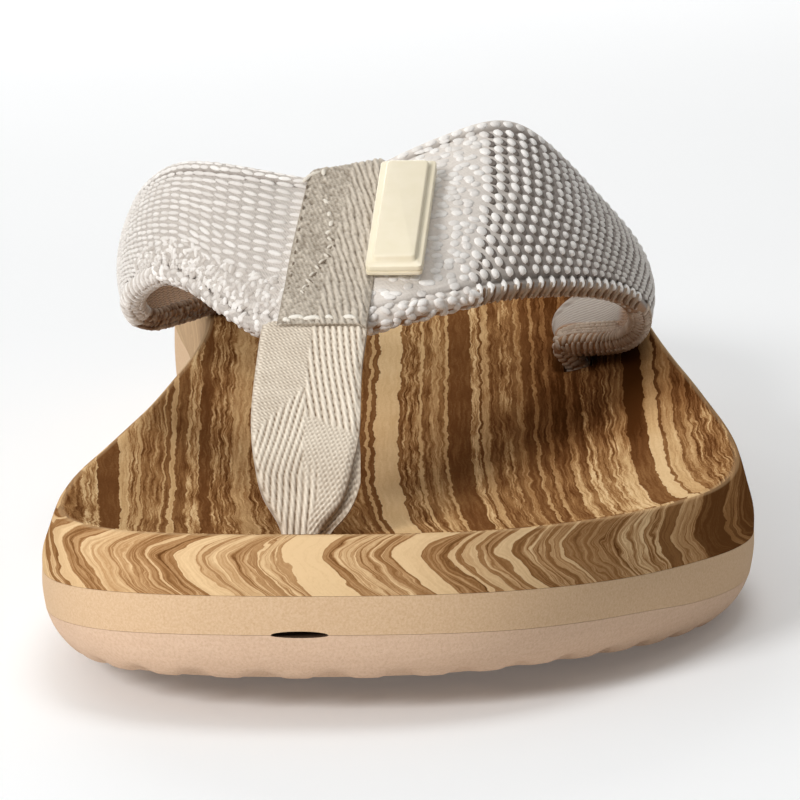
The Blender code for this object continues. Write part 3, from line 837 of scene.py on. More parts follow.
def skin(name, rings, charts=None, layers=None):
    """A mesh through rings of as many points, with its charts (two numbers for each point, kept
    as UV maps) and layers (one number for each point)."""
    rings = np.asarray(rings, float)
    rows, count = rings.shape[:2]
    a = np.arange(count)
    b = (a + 1) % count
    low = np.arange(rows - 1)[:, None] * count
    faces = np.stack([low + a, low + b, low + count + b, low + count + a], axis=-1).reshape(-1, 4)
    points = (rings.reshape(-1, 3) - (0, LENGTH / 2, 0)) * MM
    data = bpy.data.meshes.new(name)
    data.from_pydata(points.tolist(), [], faces.tolist())
    corners = np.empty(len(data.loops), dtype=np.int32)
    data.loops.foreach_get("vertex_index", corners)
    for title, numbers in (charts or {}).items():
        chart = data.uv_layers.new(name=title)
        numbers = np.asarray(numbers, np.float32).reshape(-1, 2)[corners]
        chart.uv.foreach_set("vector", numbers.ravel())
    for title, numbers in (layers or {}).items():
        layer = data.attributes.new(title, "FLOAT", "POINT")
        layer.data.foreach_set("value", np.asarray(numbers, np.float32).ravel())
    return data


def worked(data, work):
    """The mesh after `work` on it in a bmesh, with its faces turned outwards."""
    mesh = bmesh.new()
    mesh.from_mesh(data)
    work(mesh)
    bmesh.ops.recalc_face_normals(mesh, faces=mesh.faces)
    mesh.to_mesh(data)
    mesh.free()
    return data


def merge_points(mesh):
    bmesh.ops.remove_doubles(mesh, verts=mesh.verts, dist=0.01 * MM)
    bmesh.ops.dissolve_degenerate(mesh, edges=mesh.edges, dist=0.0001 * MM)


def close_ends(mesh):
    ends = [edge for edge in mesh.edges if edge.is_boundary]
    bmesh.ops.holes_fill(mesh, edges=ends, sides=0)


def placed(name, data):
    """An object of any kind, linked to the scene."""
    made = bpy.data.objects.new(name, data)
    bpy.context.scene.collection.objects.link(made)
    return made


def loose(name, data, materials=()):
    """An object of a mesh, with the materials that the mesh lacks."""
    known = [found.name for found in data.materials if found]
    for paint in materials:
        if paint.name not in known:
            data.materials.append(paint)
    return placed(name, data)


def piece(name, data, materials, sharp=None):
    """A finished piece, smooth but for edges over `sharp` degrees, that rides on the one body."""
    made = loose(name, data, materials)
    data.shade_smooth()
    if sharp:
        data.set_sharp_from_angle(angle=math.radians(sharp))
    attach(made, "root")
    return made


def drawn(made):
    """The object's evaluated mesh, as plain mesh data, with the object taken away."""
    graph = bpy.context.evaluated_depsgraph_get()
    data = bpy.data.meshes.new_from_object(made.evaluated_get(graph), depsgraph=graph)
    data.name = made.name + "_mesh"
    bpy.data.objects.remove(made)
    return data


def cut(data, cutters, materials):
    """The mesh with each cutter taken out of it. Cut faces take the cutter's material."""
    body = loose("to_cut", data, materials)
    tools = []
    for tool_data in cutters:
        tool = loose("cutter", tool_data, materials)
        bool_cut = body.modifiers.new("cut", "BOOLEAN")
        bool_cut.operation = "DIFFERENCE"
        bool_cut.solver = "EXACT"
        bool_cut.object = tool
        tools.append(tool)
    result = drawn(body)
    for tool in tools:
        bpy.data.objects.remove(tool)
    return result


def cutter_mesh(fill, index=1):
    """A cutter in millimetres, made by `fill` in a bmesh."""
    data = worked(bpy.data.meshes.new("cutter"), fill)
    for face in data.polygons:
        face.material_index = index
    data.transform(Matrix.Scale(MM, 4) @ Matrix.Translation((0, -LENGTH / 2, 0)))
    return data


def loft(mesh, rings):
    """A closed bar through rings of as many points."""
    rows = [[mesh.verts.new(point) for point in points] for points in rings]
    for low, high in zip(rows, rows[1:]):
        for i in range(len(low)):
            j = (i + 1) % len(low)
            mesh.faces.new((low[i], low[j], high[j], high[i]))
    mesh.faces.new(rows[0][::-1])
    mesh.faces.new(rows[-1])


# ---------------------------------------------------------------- sole


def wall_rings(points, outward, profile, low, high):
    """Rings of a wall between two of the sole's lines, each given by its column and a lift."""
    made = []
    for share, inset in profile:
        at = points - outward * inset
        foot, top = (level(column, at[:, 1]) + lift for column, lift in (low, high))
        made.append(np.column_stack([at, foot * (1 - share) + top * share]))
    return made


def slit_cutter():
    """The narrow slit under the toes, flatter below."""
    across, along = SLIT_AT
    height = float(level(SEAM, np.array([along]))[0])

    def fill(mesh):
        bmesh.ops.create_uvsphere(mesh, u_segments=48, v_segments=20, radius=0.5)
        bmesh.ops.scale(mesh, vec=SLIT_SIZE, verts=mesh.verts)
        for vert in mesh.verts:
            vert.co.z *= SLIT_FLAT if vert.co.z < 0 else 1
        bmesh.ops.translate(mesh, vec=(across, along, height), verts=mesh.verts)

    return cutter_mesh(fill)


def groove_cutters():
    """Wave-shaped bars under the tread, one mesh."""
    curve, _ = outline()
    outer = curve[curve[:, 0] > 0]
    inner = curve[curve[:, 0] <= 0]
    foot, top = GROOVE_WIDTH / 2, GROOVE_WIDTH / 2 - GROOVE_DRAFT
    below = -2  # the bars start under the tread
    section = ((-foot, below), (foot, below), (top, GROOVE_DEPTH), (-top, GROOVE_DEPTH))

    def fill(mesh):
        for first, last, spacing in GROOVE_ROWS:
            for along in np.arange(first, last, spacing):
                right = outer[np.abs(outer[:, 1] - along).argmin(), 0] - GROOVE_MARGIN
                left = inner[np.abs(inner[:, 1] - along).argmin(), 0] + GROOVE_MARGIN
                across = np.linspace(left, right, 40)
                wave = along + GROOVE_WAVE * np.sin(across / GROOVE_WAVELENGTH * math.tau)
                floor = level(GROUND, wave)
                rings = []
                for x, y, z in zip(across, wave, floor):
                    rings.append([(x, y + side, z + rise) for side, rise in section])
                loft(mesh, rings)

    return cutter_mesh(fill, index=0)


def make_outsole():
    """Lower layer: a rolled edge with lugs all round, and a grooved tread on the floor."""
    finer = 4
    points, outward, spine = loop(LUG_STEP, finer)
    phase = np.arange(len(points)) / finer % 3
    near = np.minimum(phase, 3 - phase)
    notch = LUG_NOTCH * (0.5 + 0.5 * np.cos(math.pi * np.clip(near / NOTCH_REACH, 0, 1)))
    inside = points - outward * TREAD_INSIDE
    tread = [inside + (spine - inside) * share for share in (1.0, 0.7, 0.4, 0.15, 0.0)]
    tread += [points - outward * inset for inset in TREAD_EDGE]
    rings = [level_ring(at, GROUND) for at in tread]
    profile = eased(OUTSOLE_WALL, 18, 7.0)
    walls = wall_rings(points, outward, profile, (GROUND, 0.0), (SEAM, -GAP / 2))
    for (share, _), wall in zip(profile, walls):
        wall[:, 2] += notch * max(0.0, 1 - share / NOTCH_END) ** 1.5
    rings += [*walls, level_ring(spine, SEAM, -GAP / 2)]
    data = worked(skin("outsole", rings), merge_points)
    data = cut(data, [groove_cutters(), slit_cutter()], [rough_foam, slit_shade])
    made = piece("outsole_skin", data, [rough_foam, slit_shade], sharp=40)
    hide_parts("outsole")


def make_midsole():
    """Middle layer of smooth foam."""
    points, outward, spine = loop(LAYER_STEP, 8)
    low, high = (SEAM, GAP / 2), (WOOD_LINE, -GAP / 2)
    walls = wall_rings(points, outward, eased(MIDSOLE_WALL, 12, 6.0), low, high)
    rings = [level_ring(spine, *low), *walls, level_ring(spine, *high)]
    data = worked(skin("midsole", rings), merge_points)
    data = cut(data, [slit_cutter()], [foam, slit_shade])
    made = piece("midsole_skin", data, [foam, slit_shade], sharp=40)
    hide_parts("midsole")


# How far the limbs of a chevron run to the outer side, up to the rim and down to the wood line, by
# the place across where the chevron points.
CHEVRONS = (
    (-52.0, 3.5, 3.5),
    (-46.0, 4.0, 4.2),
    (-36.0, 6.0, 5.4),
    (-31.0, 7.5, 5.8),
    (-24.0, 6.0, 5.6),
    (-18.5, 3.5, 5.2),
    (-16.5, 2.5, 4.7),
    (-11.0, 5.1, 6.8),
    (-3.0, 3.5, 6.4),
    (2.0, 5.7, 6.0),
    (9.0, 3.3, 7.0),
    (14.0, 3.8, 6.0),
    (20.0, 2.2, 5.3),
    (28.0, 3.6, 4.2),
    (37.0, 1.7, 1.9),
    (46.0, 2.2, 3.8),
)
# Share of the wall's height at which they point, by the place across.
CHEVRON_POINTS = ((-60.0, 0.62), (-10.0, 0.64), (25.0, 0.68), (37.0, 0.5), (46.0, 0.43))
# How far a stripe on the top stands from its place at 100 mm from the toe: by the place along for
# the stripes of the middle, the share of that by the place across, and the slope beside it.
LANE_SHIFTS = (
    (20, 7),
    (35, 5),
    (50, 3),
    (60, 1.8),
    (80, 0.5),
    (100, 0),
    (120, 0),
    (150, 0.3),
    (180, 0.6),
    (268, 1),
)
LANE_SHARES = ((-36, 0), (-28, 0.3), (-20, 1))
LANE_SLOPES = ((-47, 0.063), (-41, 0.058), (-36, 0.02), (-28, 0.02), (-20, 0), (50, 0))


def chevron_place(across, share):
    """Where on the wall a stripe points, from a place on it and its share of the height."""
    table = np.array(CHEVRONS)
    share = np.clip(share, 0, 1)
    found = across
    for _ in range(4):
        above = look_up(table[:, [0, 1]], found)
        below = look_up(table[:, [0, 2]], found)
        point = look_up(CHEVRON_POINTS, found)
        high = np.clip((share - point) / (1 - point), 0, None) ** 1.9
        low = np.clip((point - share) / point, 0, None) ** 1.3
        found = across - (above * high + below * low) * 0.9
    return found


def lane_bend(across, along):
    shift = look_up(LANE_SHIFTS, along) * look_up(LANE_SHARES, across)
    return shift + (100 - along) * look_up(LANE_SLOPES, across)


def make_footbed():
    """Top layer: a crisp rim round a dish, with stripes charted over the wall and the top."""
    points, outward, spine = loop(LAYER_STEP, 7)
    low = (WOOD_LINE, GAP / 2)
    # the wall is eased up to the rim, whose edge stays crisp
    profile = [*eased(FOOTBED_WALL[:-1], 18, 9.5), (0.985, 2.33), FOOTBED_WALL[-1]]
    inside = points - outward * RIM_INSIDE
    rings = [level_ring(spine, *low)]
    rings += wall_rings(points, outward, profile, low, (RIM, 0.0))
    rings.append(level_ring(inside, RIM))
    # the chart's share is 0 to 1 up the wall, past 1 on the rim and from 2 on in the dish
    shares = [0.0, *(share for share, _ in profile), 1.2]
    for share in (0.02, 0.045, 0.075, 0.11, 0.16, 0.22, 0.29, 0.37, 0.46, 0.56, 0.68, 0.84, 1.0):
        at = inside + (spine - inside) * share
        sunk = 1 - (1 - min(share / DISH_REACH, 1)) ** 2
        rings.append(level_ring(at, RIM, -level(DISH, at[:, 1]) * sunk))
        shares.append(2.0 + share)
    rings = np.array(rings)
    shares = np.repeat(np.array(shares)[:, None], rings.shape[1], axis=1)
    across, along = rings[..., 0], rings[..., 1]
    wall_chart = np.stack([chevron_place(across, shares), shares], axis=-1)
    top_chart = np.stack([across - lane_bend(across, along), along], axis=-1)
    data = skin("footbed", rings, {"wall": wall_chart, "top": top_chart})
    data = worked(data, merge_points)

    def fill(mesh):
        for x, front, _, _, back, _, _ in (BAND[0], BAND[-1]):
            made = bmesh.ops.create_cube(mesh, size=1)["verts"]
            bmesh.ops.scale(mesh, vec=(SLOT_WIDTH, SLOT_LENGTH, CUT_TOP), verts=made)
            bmesh.ops.translate(mesh, vec=(x, (front + back) / 2, CUT_TOP / 2), verts=made)
        radius = POST_HOLE / 2
        made = bmesh.ops.create_cone(
            mesh, cap_ends=True, segments=40, radius1=radius, radius2=radius, depth=CUT_TOP
        )["verts"]
        bmesh.ops.translate(mesh, vec=(POST[0][0], POST[0][1], CUT_TOP / 2), verts=made)

    data = cut(data, [cutter_mesh(fill)], [wood, foam])
    made = piece("footbed_skin", data, [wood, foam], sharp=35)
    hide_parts("footbed")


# ---------------------------------------------------------------- band

ROWS = np.array(BAND)
ROW_KNOTS = distances((ROWS[:, 0:3] + ROWS[:, 3:6]) / 2)
BAND_END = 0.06  # the band's surface is read no nearer than this to its first and last row


def band_edges(section):
    """Front edge, back edge and crown at places counted in rows of BAND."""
    at = np.interp(section, np.arange(len(BAND)), ROW_KNOTS)
    values = spline(ROW_KNOTS, ROWS, at)
    return values[:, 0:3], values[:, 3:6], values[:, 6:7]


def band_point(section, share, lift=0.0):
    """Points on the band's middle surface, lifted off it, with the directions along the band and
    out of it. `share` runs from the front edge to the back edge."""
    section = np.atleast_1d(np.asarray(section, float))
    share = np.reshape(np.asarray(share, float), (-1, 1)) * np.ones((len(section), 1))
    section = np.clip(section, BAND_END, LAST_ROW - BAND_END)

    def surface(at, part):
        front, back, crown = band_edges(at)
        after, before = band_edges(at + 0.05), band_edges(at - 0.05)
        run = after[0] - before[0] + after[1] - before[1]
        up = unit(np.cross(run, back - front))
        bow = np.clip(4 * part * (1 - part), 0, 1)
        return front + (back - front) * part + up * crown * bow

    here = surface(section, share)
    run = surface(section + 0.05, share) - surface(section - 0.05, share)
    across = surface(section, share + 0.02) - surface(section, share - 0.02)
    up = unit(np.cross(run, across))
    return here + up * np.reshape(lift, (-1, 1)), unit(run), up


FINE_SECTIONS = np.linspace(BAND_END, LAST_ROW - BAND_END, 1600)
MIDDLE_LINE = band_point(FINE_SECTIONS, 0.5)[0]
BAND_ARC = arc_lengths(MIDDLE_LINE)


def arc_of(section):
    return np.interp(section, FINE_SECTIONS, BAND_ARC)


def section_at(arc):
    return np.interp(arc, BAND_ARC, FINE_SECTIONS)


def band_width(section):
    front, back, _ = band_edges(np.atleast_1d(section))
    return np.linalg.norm(back - front, axis=1)


# From an edge inwards: distance and half thickness. A rolled hem, its stitch groove, the wall.
HEM = (
    (0.0, 0.4),
    (0.14, 0.72),
    (0.45, 1.17),
    (0.95, 1.56),
    (1.6, 1.75),
    (2.3, 1.68),
    (2.8, 1.45),
    (3.1, 1.2),
    (3.4, 1.16),
    (3.8, 1.34),
    (4.5, 1.5),
)
GROOVE_INSIDE = 3.2  # from the edge to the hem's stitch groove
GROOVE_SPREAD = 0.45  # of the shade in it
BACK_HEM_WIDTH = 3.0


def make_band_ground():
    """The band's wall with rolled hems, from slot to slot."""
    sections = np.linspace(0, LAST_ROW, LAST_ROW * 12 + 1)
    width = band_width(sections)
    inset, half = np.array(HEM).T
    middle = np.linspace(0, 1, 16)[1:-1]
    shares = []
    for wide_here in width:
        edge = inset / wide_here
        wall = edge[-1] + (1 - 2 * edge[-1]) * middle
        shares.append(np.concatenate([edge, wall, 1 - edge[::-1]]))
    shares = np.array(shares)
    halves = np.concatenate([half, np.full(len(middle), BAND_WALL / 2), half[::-1]])
    count = shares.shape[1]
    flat_sections = np.repeat(sections, count)
    rows = len(sections)
    faces = []
    for lift in (np.tile(halves, rows), np.tile(-halves, rows)):
        faces.append(band_point(flat_sections, shares.ravel(), lift)[0].reshape(rows, count, 3))

    def round_about(outer, inner):
        """Numbers for the points across the outer face and back across the inner one."""
        return np.concatenate([outer, inner[:, ::-1]], axis=1)

    reach = shares * width[:, None]
    from_back = width[:, None] - reach
    runs = np.repeat(arc_of(sections)[:, None], 2 * count, axis=1)
    chart = np.stack([runs, round_about(reach, reach)], axis=-1)
    groove = np.exp(-(((np.minimum(reach, from_back) - GROOVE_INSIDE) / GROOVE_SPREAD) ** 2))
    back_hem = np.clip(BACK_HEM_WIDTH - from_back, 0, 1)
    layers = {"groove": round_about(groove, groove), "back_hem": round_about(back_hem, back_hem)}
    data = skin("band_ground", round_about(*faces), {"cloth": chart}, layers)
    sides = np.tile(np.arange(2 * count) >= count, rows - 1)
    data.materials.append(ground_weave)
    data.materials.append(inner_weave)
    data.polygons.foreach_set("material_index", sides.astype(np.int32))
    worked(data, merge_points)
    worked(data, close_ends)
    return piece("band_ground", data, [ground_weave, inner_weave])


# ---------------------------------------------------------------- yarn on the band


def yarn_tree():
    """Geometry nodes that set a rounded yarn float on every point."""
    group = bpy.data.node_groups.new("yarn_floats", "GeometryNodeTree")
    given = {"Points": "Geometry", "Sides": "Int", "Rings": "Int", "Yarn": "Material"}
    for name, kind in given.items():
        group.interface.new_socket(name, in_out="INPUT", socket_type="NodeSocket" + kind)
    group.interface.new_socket("Floats", in_out="OUTPUT", socket_type="NodeSocketGeometry")
    tree = Tree(group)
    given = tree.add("NodeGroupInput")
    bead = tree.add(
        "GeometryNodeMeshUVSphere",
        {},
        {"Segments": given.out("Sides"), "Rings": given.out("Rings"), "Radius": 0.5},
    )
    bead = tree.add("GeometryNodeSetShadeSmooth", {}, {"Geometry": bead})

    def read(name):
        settings = {"data_type": "FLOAT_VECTOR"}
        return tree.add("GeometryNodeInputNamedAttribute", settings, {"Name": name})

    # the float's pole axis lies along the yarn
    turn = tree.add("FunctionNodeAlignRotationToVector", {"axis": "Z"}, {"Vector": read("run")})
    turn = tree.add(
        "FunctionNodeAlignRotationToVector",
        {"axis": "Y", "pivot_axis": "Z"},
        {"Rotation": turn, "Vector": read("rise")},
    )
    laid = tree.add(
        "GeometryNodeInstanceOnPoints",
        {},
        {"Points": given.out("Points"), "Instance": bead, "Rotation": turn, "Scale": read("size")},
    )
    laid = tree.add("GeometryNodeRealizeInstances", {}, {"Geometry": laid})
    sockets = {"Geometry": laid, "Material": given.out("Yarn")}
    laid = tree.add("GeometryNodeSetMaterial", {}, sockets)
    end = tree.add("NodeGroupOutput")
    tree.links.new(laid.socket, end.inputs["Floats"])
    return group


YARN_TREE = yarn_tree()


class Floats:
    """Places of yarn floats, gathered before the nodes set them."""

    def __init__(self):
        self.rows = []

    def lay(self, place, run, rise, size, tone):
        """`size` is length, width and height in millimetres."""
        self.rows.append((*place, *run, *rise, size[1], size[2], size[0], tone))

    def lay_all(self, *columns):
        for row in zip(*columns):
            self.lay(*row)

    def make(self, name, paint, sides=8, rings=5):
        table = np.array(self.rows, float)
        data = bpy.data.meshes.new(name)
        places = (table[:, 0:3] - (0, LENGTH / 2, 0)) * MM
        data.from_pydata(places.tolist(), [], [])
        vectors = {"run": table[:, 3:6], "rise": table[:, 6:9], "size": table[:, 9:12] * MM}
        for title, numbers in vectors.items():
            layer = data.attributes.new(title, "FLOAT_VECTOR", "POINT")
            layer.data.foreach_set("vector", numbers.astype(np.float32).ravel())
        layer = data.attributes.new("tone", "FLOAT", "POINT")
        layer.data.foreach_set("value", table[:, 12].astype(np.float32))
        holder = loose(name, data)
        nodes = holder.modifiers.new("floats", "NODES")
        nodes.node_group = YARN_TREE
        given = {"Sides": sides, "Rings": rings, "Yarn": paint}
        for item in YARN_TREE.interface.items_tree:
            if item.in_out == "INPUT" and item.name in given:
                nodes[item.identifier] = given[item.name]
        result = drawn(holder)
        for title in vectors:
            if title in result.attributes:
                result.attributes.remove(result.attributes[title])
        return piece(name, result, [paint])


# Spacing of the white floats along the band by distance from the inner slot, and the rows across
# its outer arm.
COLUMN_PITCH = (
    (0.0, 2.4),
    (60.0, 2.2),
    (92.0, 1.9),
    (97.0, 2.3),
    (101.0, 2.7),
    (107.0, 3.3),
    (116.0, 2.9),
    (123.0, 2.6),
    (136.0, 2.6),
    (149.0, 2.8),
    (157.0, 3.0),
    (180.0, 3.15),
    (200.0, 2.9),
    (253.0, 2.7),
)
FLOAT_LIFT = BAND_WALL / 2 - 0.04  # of the middle of a float over the band's middle surface
OUTER_ROWS = 15
OUTER_MARGINS = (3.9, 3.1)  # free of beads along the front and the back hem
WEBBING_ARC = float(arc_of(WRAP_SECTION))
WEBBING_STRIP = 5.0  # half of the strip under the webbing that carries no floats
END_STRIP = 2.0  # free of floats at each end of the band
GRID_FROM = 152.0  # distance from the inner slot at which the outer arm's grid begins to clear
CREST = 182.0  # and at which it turns down to the outer leg
INNER_MARGIN = 3.7  # from the back edge to the first row of the inner arm
INNER_ROWS = 30  # at most
FRONT_MARGIN = 2.4  # free of floats along the front edge of the inner arm
# Spacing of the inner arm's rows, and how far from its front edge they begin to be loose.
ROW_PITCH = ((90.0, 1.22), (99.0, 1.28), (122.0, 1.98))
LOOSE_REACH = ((92.0, 7.5), (100.0, 9.5), (120.0, 13.5))
LOOSE_FROM = 84.0  # distance from the inner slot where that begins
LUMPS = 5.0  # more floats at a place where the rows are loose


def pitch_at(arc):
    return float(look_up(COLUMN_PITCH, arc))


def width_at(arc):
    return float(band_width(section_at(arc))[0])


def column_places(first, last, share=1.0):
    """Places of the columns of floats along the band, `share` of their spacing apart."""
    places = [first]
    while places[-1] < last:
        places.append(places[-1] + share * pitch_at(places[-1]))
    return np.array(places[:-1])


HEM_RADIUS = 1.75


def hem_point(section, angle, back=False):
    """A point on a rolled hem with the directions along the band, out of the hem and round it.
    The angle is counted from the hem's outermost line up to the band's outer face."""
    section = np.atleast_1d(np.asarray(section, float))
    turn = np.radians(np.atleast_1d(np.asarray(angle, float)))
    inside = HEM_RADIUS * (1 - np.cos(turn))
    half = look_up(HEM, inside)
    near = np.minimum(half, HEM_RADIUS * np.abs(np.sin(turn)))
    half = np.where(np.abs(turn) < math.pi / 2, near, half) * np.sign(turn)
    share = inside / band_width(section)
    place, run, up = band_point(section, 1 - share if back else share, half)
    inward = np.cross(up, run) * (-1 if back else 1)
    turn = turn[:, None]
    rise = up * np.sin(turn) - inward * np.cos(turn)
    around = up * np.cos(turn) + inward * np.sin(turn)
    return place, run, rise, around


def grid_weight(arc):
    """0 near the webbing, where the floats are broken, to 1 where they stand in a clear grid."""
    return float(np.clip((arc - GRID_FROM) / 10.0, 0, 1))


def column_lean(share, weight):
    """How far a column of the outer arm falls back towards its front hem, in millimetres."""
    return weight * 7.0 * np.minimum(share - 0.55, 0)


def inner_row(arc, row):
    """Share of a row of the inner arm: the rows fan out from the back edge to the webbing."""
    return 1 - (INNER_MARGIN + row * float(look_up(ROW_PITCH, arc))) / width_at(arc)


def make_inner_floats(floats):
    """Thin dashes in rows along the back edge that loosen to lumps before the front one."""
    for arc in column_places(END_STRIP, WEBBING_ARC - WEBBING_STRIP):
        pitch = pitch_at(arc)
        width = width_at(arc)
        step = (inner_row(arc, 0) - inner_row(arc, 1)) * width
        loose_reach = float(look_up(LOOSE_REACH, arc))
        fall = -0.12 * float(np.clip((arc - 101) / 8, 0, 1))
        for row in range(INNER_ROWS):
            share = inner_row(arc, row)
            from_front = share * width
            if from_front < FRONT_MARGIN:
                break
            loose = float(np.clip((loose_reach - from_front) / 3.5, 0, 1)) * (arc > LOOSE_FROM)
            for _ in range(1 + round(LUMPS * loose)):
                spot = arc + about(0, 0.1) + between(-0.5, 0.5) * pitch * loose
                at = share + about(0, 0.05 + 0.35 * loose) * step / width
                ahead = inner_row(spot + 0.5, row) - inner_row(spot - 0.5, row)
                places, _, rise = band_point(
                    section_at(np.array([spot - 0.5, spot, spot + 0.5])),
                    np.array([at - ahead / 2, at, at + ahead / 2]),
                    FLOAT_LIFT,
                )
                along = unit(places[2] - places[0])
                lean = fall + about(0, 0.05)
                lean += loose * about(0, 0.9)
                along = unit(along + np.cross(rise[1], along) * math.tan(np.clip(lean, -1.3, 1.3)))
                long = pitch * (1.02 - 0.54 * loose) * between(0.86, 1.1)
                thick = (0.28 + step * (0.32 + 0.02 * loose)) * between(0.88, 1.12)
                tone = between(0.3, 0.55) if loose < 0.3 else between(-0.2, 0.65)
                floats.lay(places[1], along, rise[1], (long, thick, 0.68), tone)


def make_outer_floats(floats, weft):
    """Flat specks beside the plate that turn to beads standing in a grid, and in the grid a flat
    dark float of painted shadow beside each bead, laid in `weft`.
    """
    columns = column_places(WEBBING_ARC + WEBBING_STRIP, BAND_ARC[-1] - END_STRIP)
    for number, arc in enumerate(columns):
        pitch = pitch_at(arc)
        width = width_at(arc)
        grid = grid_weight(arc)
        in_grid = grid > 0.5
        # beside the plate the specks lie twice as close
        rows = OUTER_ROWS if in_grid else 2 * OUTER_ROWS
        stray = 0.04 if in_grid else 0.34
        front, back = OUTER_MARGINS[0] / width, OUTER_MARGINS[1] / width
        step = (1 - front - back) / rows
        share = front + (np.arange(rows) + 0.4 + 0.5 * (number % 2) * (1 - grid)) * step
        share = share + about(0, 1, rows) * stray * step
        shift = column_lean(share, grid) + about(0, 1, rows) * (0.08 + stray * 1.6)
        place, run, rise = band_point(section_at(arc + shift), share, FLOAT_LIFT)
        across = np.cross(rise, run)
        lean = np.tan(0.06 * grid + about(0, 1, rows) * (0.05 + stray * 0.7))
        run = unit(run + across * lean[:, None])
        # the beads shrink past the crest, towards the outer leg
        spent = min(max((arc - CREST) / 16.0, 0), 1)
        long = pitch * (0.7 - 0.15 * grid) * between(0.88, 1.12, rows)
        thick = step * width * (0.76 - 0.06 * spent) * (1.0 if in_grid else 1.4)
        high = np.full(rows, 0.38 + 0.62 * grid - 0.3 * spent)
        sizes = np.column_stack([long, thick * between(0.9, 1.1, rows), high])
        tones = between(0.4 + 0.35 * grid, 0.9 + 0.1 * grid, rows) * (1 - 0.4 * spent)
        floats.lay_all(place, run, rise, sizes, tones)
        if in_grid:
            # painted shadow: a flat dark float shows past each bead on its heel side and below it
            beside = place + run * pitch * 0.2 - across * step * width * 0.16
            weft.lay_all(beside, run, rise, sizes * (1.0, 1.16, 0.5 * grid), tones)


def make_band_floats():
    floats, weft = Floats(), Floats()
    make_inner_floats(floats)
    make_outer_floats(floats, weft)
    # painted shadows beside the beads
    weft.make("bead_shadow_floats", bead_shadow_paint, 6, 4)
    floats.make("band_floats", float_yarn)


# Where the hems stop being white: the legs of the band beyond these places are brown.
WHITE_HEMS = (5.2, 17.6)
WRAPS = (91.0, 160.0)  # the front hem is wrapped before the first place and after the second
# Angles on the hems, from the outermost line: of the dashes on the back hem and the ribs or knots
# on the front hem of the legs, on the inner and the outer side, and of the lumps.
BACK_ANGLES = ((-34, 2, 38, 74, 108), (-20, 24))
LEG_ANGLES = ((-60, -20, 20, 60, 100), (-50, 5, 60, 108))
LUMP_ANGLES = (-50, -16, 18, 52, 84, 112)
LUMP_GAPS = 0.16  # share of them left out
INNER_WRAPS = ((-46, 2.2), (0, 2.3), (46, 2.3), (90, 2.0))  # angle, length
INNER_WRAP_PITCH = 1.3


def hem_dash(floats, arc, angle, back, size, tone, lean=0.0, sink=0.12):
    """One float on a hem, turned by `lean` from along the hem towards round it."""
    found = hem_point(float(section_at(arc)), angle, back)
    place, run, rise, around = (column[0] for column in found)
    course = run * math.cos(lean) + around * math.sin(lean)
    floats.lay(place - rise * sink, unit(course), rise, size, tone)


def lay_back_hem(floats, arc, outer):
    """Dashes round the back hem."""
    for row, angle in enumerate(BACK_ANGLES[outer]):
        size = (between(1.9, 2.5), between(0.7, 0.85), 0.62)
        spot = arc + 1.1 * (row % 2) + about(0, 0.15)
        tone = between(0.35, 0.9)
        hem_dash(floats, spot, angle, True, size, tone, about(0, 0.1))


def lay_leg_hem(floats, arc, outer):
    """Round the front hem of a leg: short pale ribs on the outer one, dark knots on the inner."""
    if outer:
        for spot in (arc, arc + 1.2):
            for angle in LEG_ANGLES[1]:
                hem_dash(floats, spot, angle, False, (1.9, 0.9, 0.75), between(0.45, 1.0), 1.35)
        return
    for angle in LEG_ANGLES[0]:
        size = (between(1.3, 2.0), between(1.0, 1.4), 0.9)
        spot = arc + about(0, 0.4)
        lean = about(0.4, 0.5)
        hem_dash(floats, spot, angle, False, size, between(-0.8, 0.2), lean)


def lay_lumps(floats, arc, outer):
    """Lumps on the middle of the front hem, fuller on the outer arm."""
    fuller = 1.3 if outer else 1.0
    for angle in LUMP_ANGLES:
        if between(0.0, 1.0) < LUMP_GAPS:
            continue
        size = (between(1.2, 1.9) * fuller, between(0.8, 1.1) * fuller, 0.9)
        spot = arc + about(0, 0.5)
        lean = about(-0.2, 0.6)
        tone = between(0.2, 1.0) if outer else between(-0.2, 0.9)
        turned = angle + about(0, 6)
        hem_dash(floats, spot, turned, False, size, tone, lean, 0.0 if outer else 0.12)


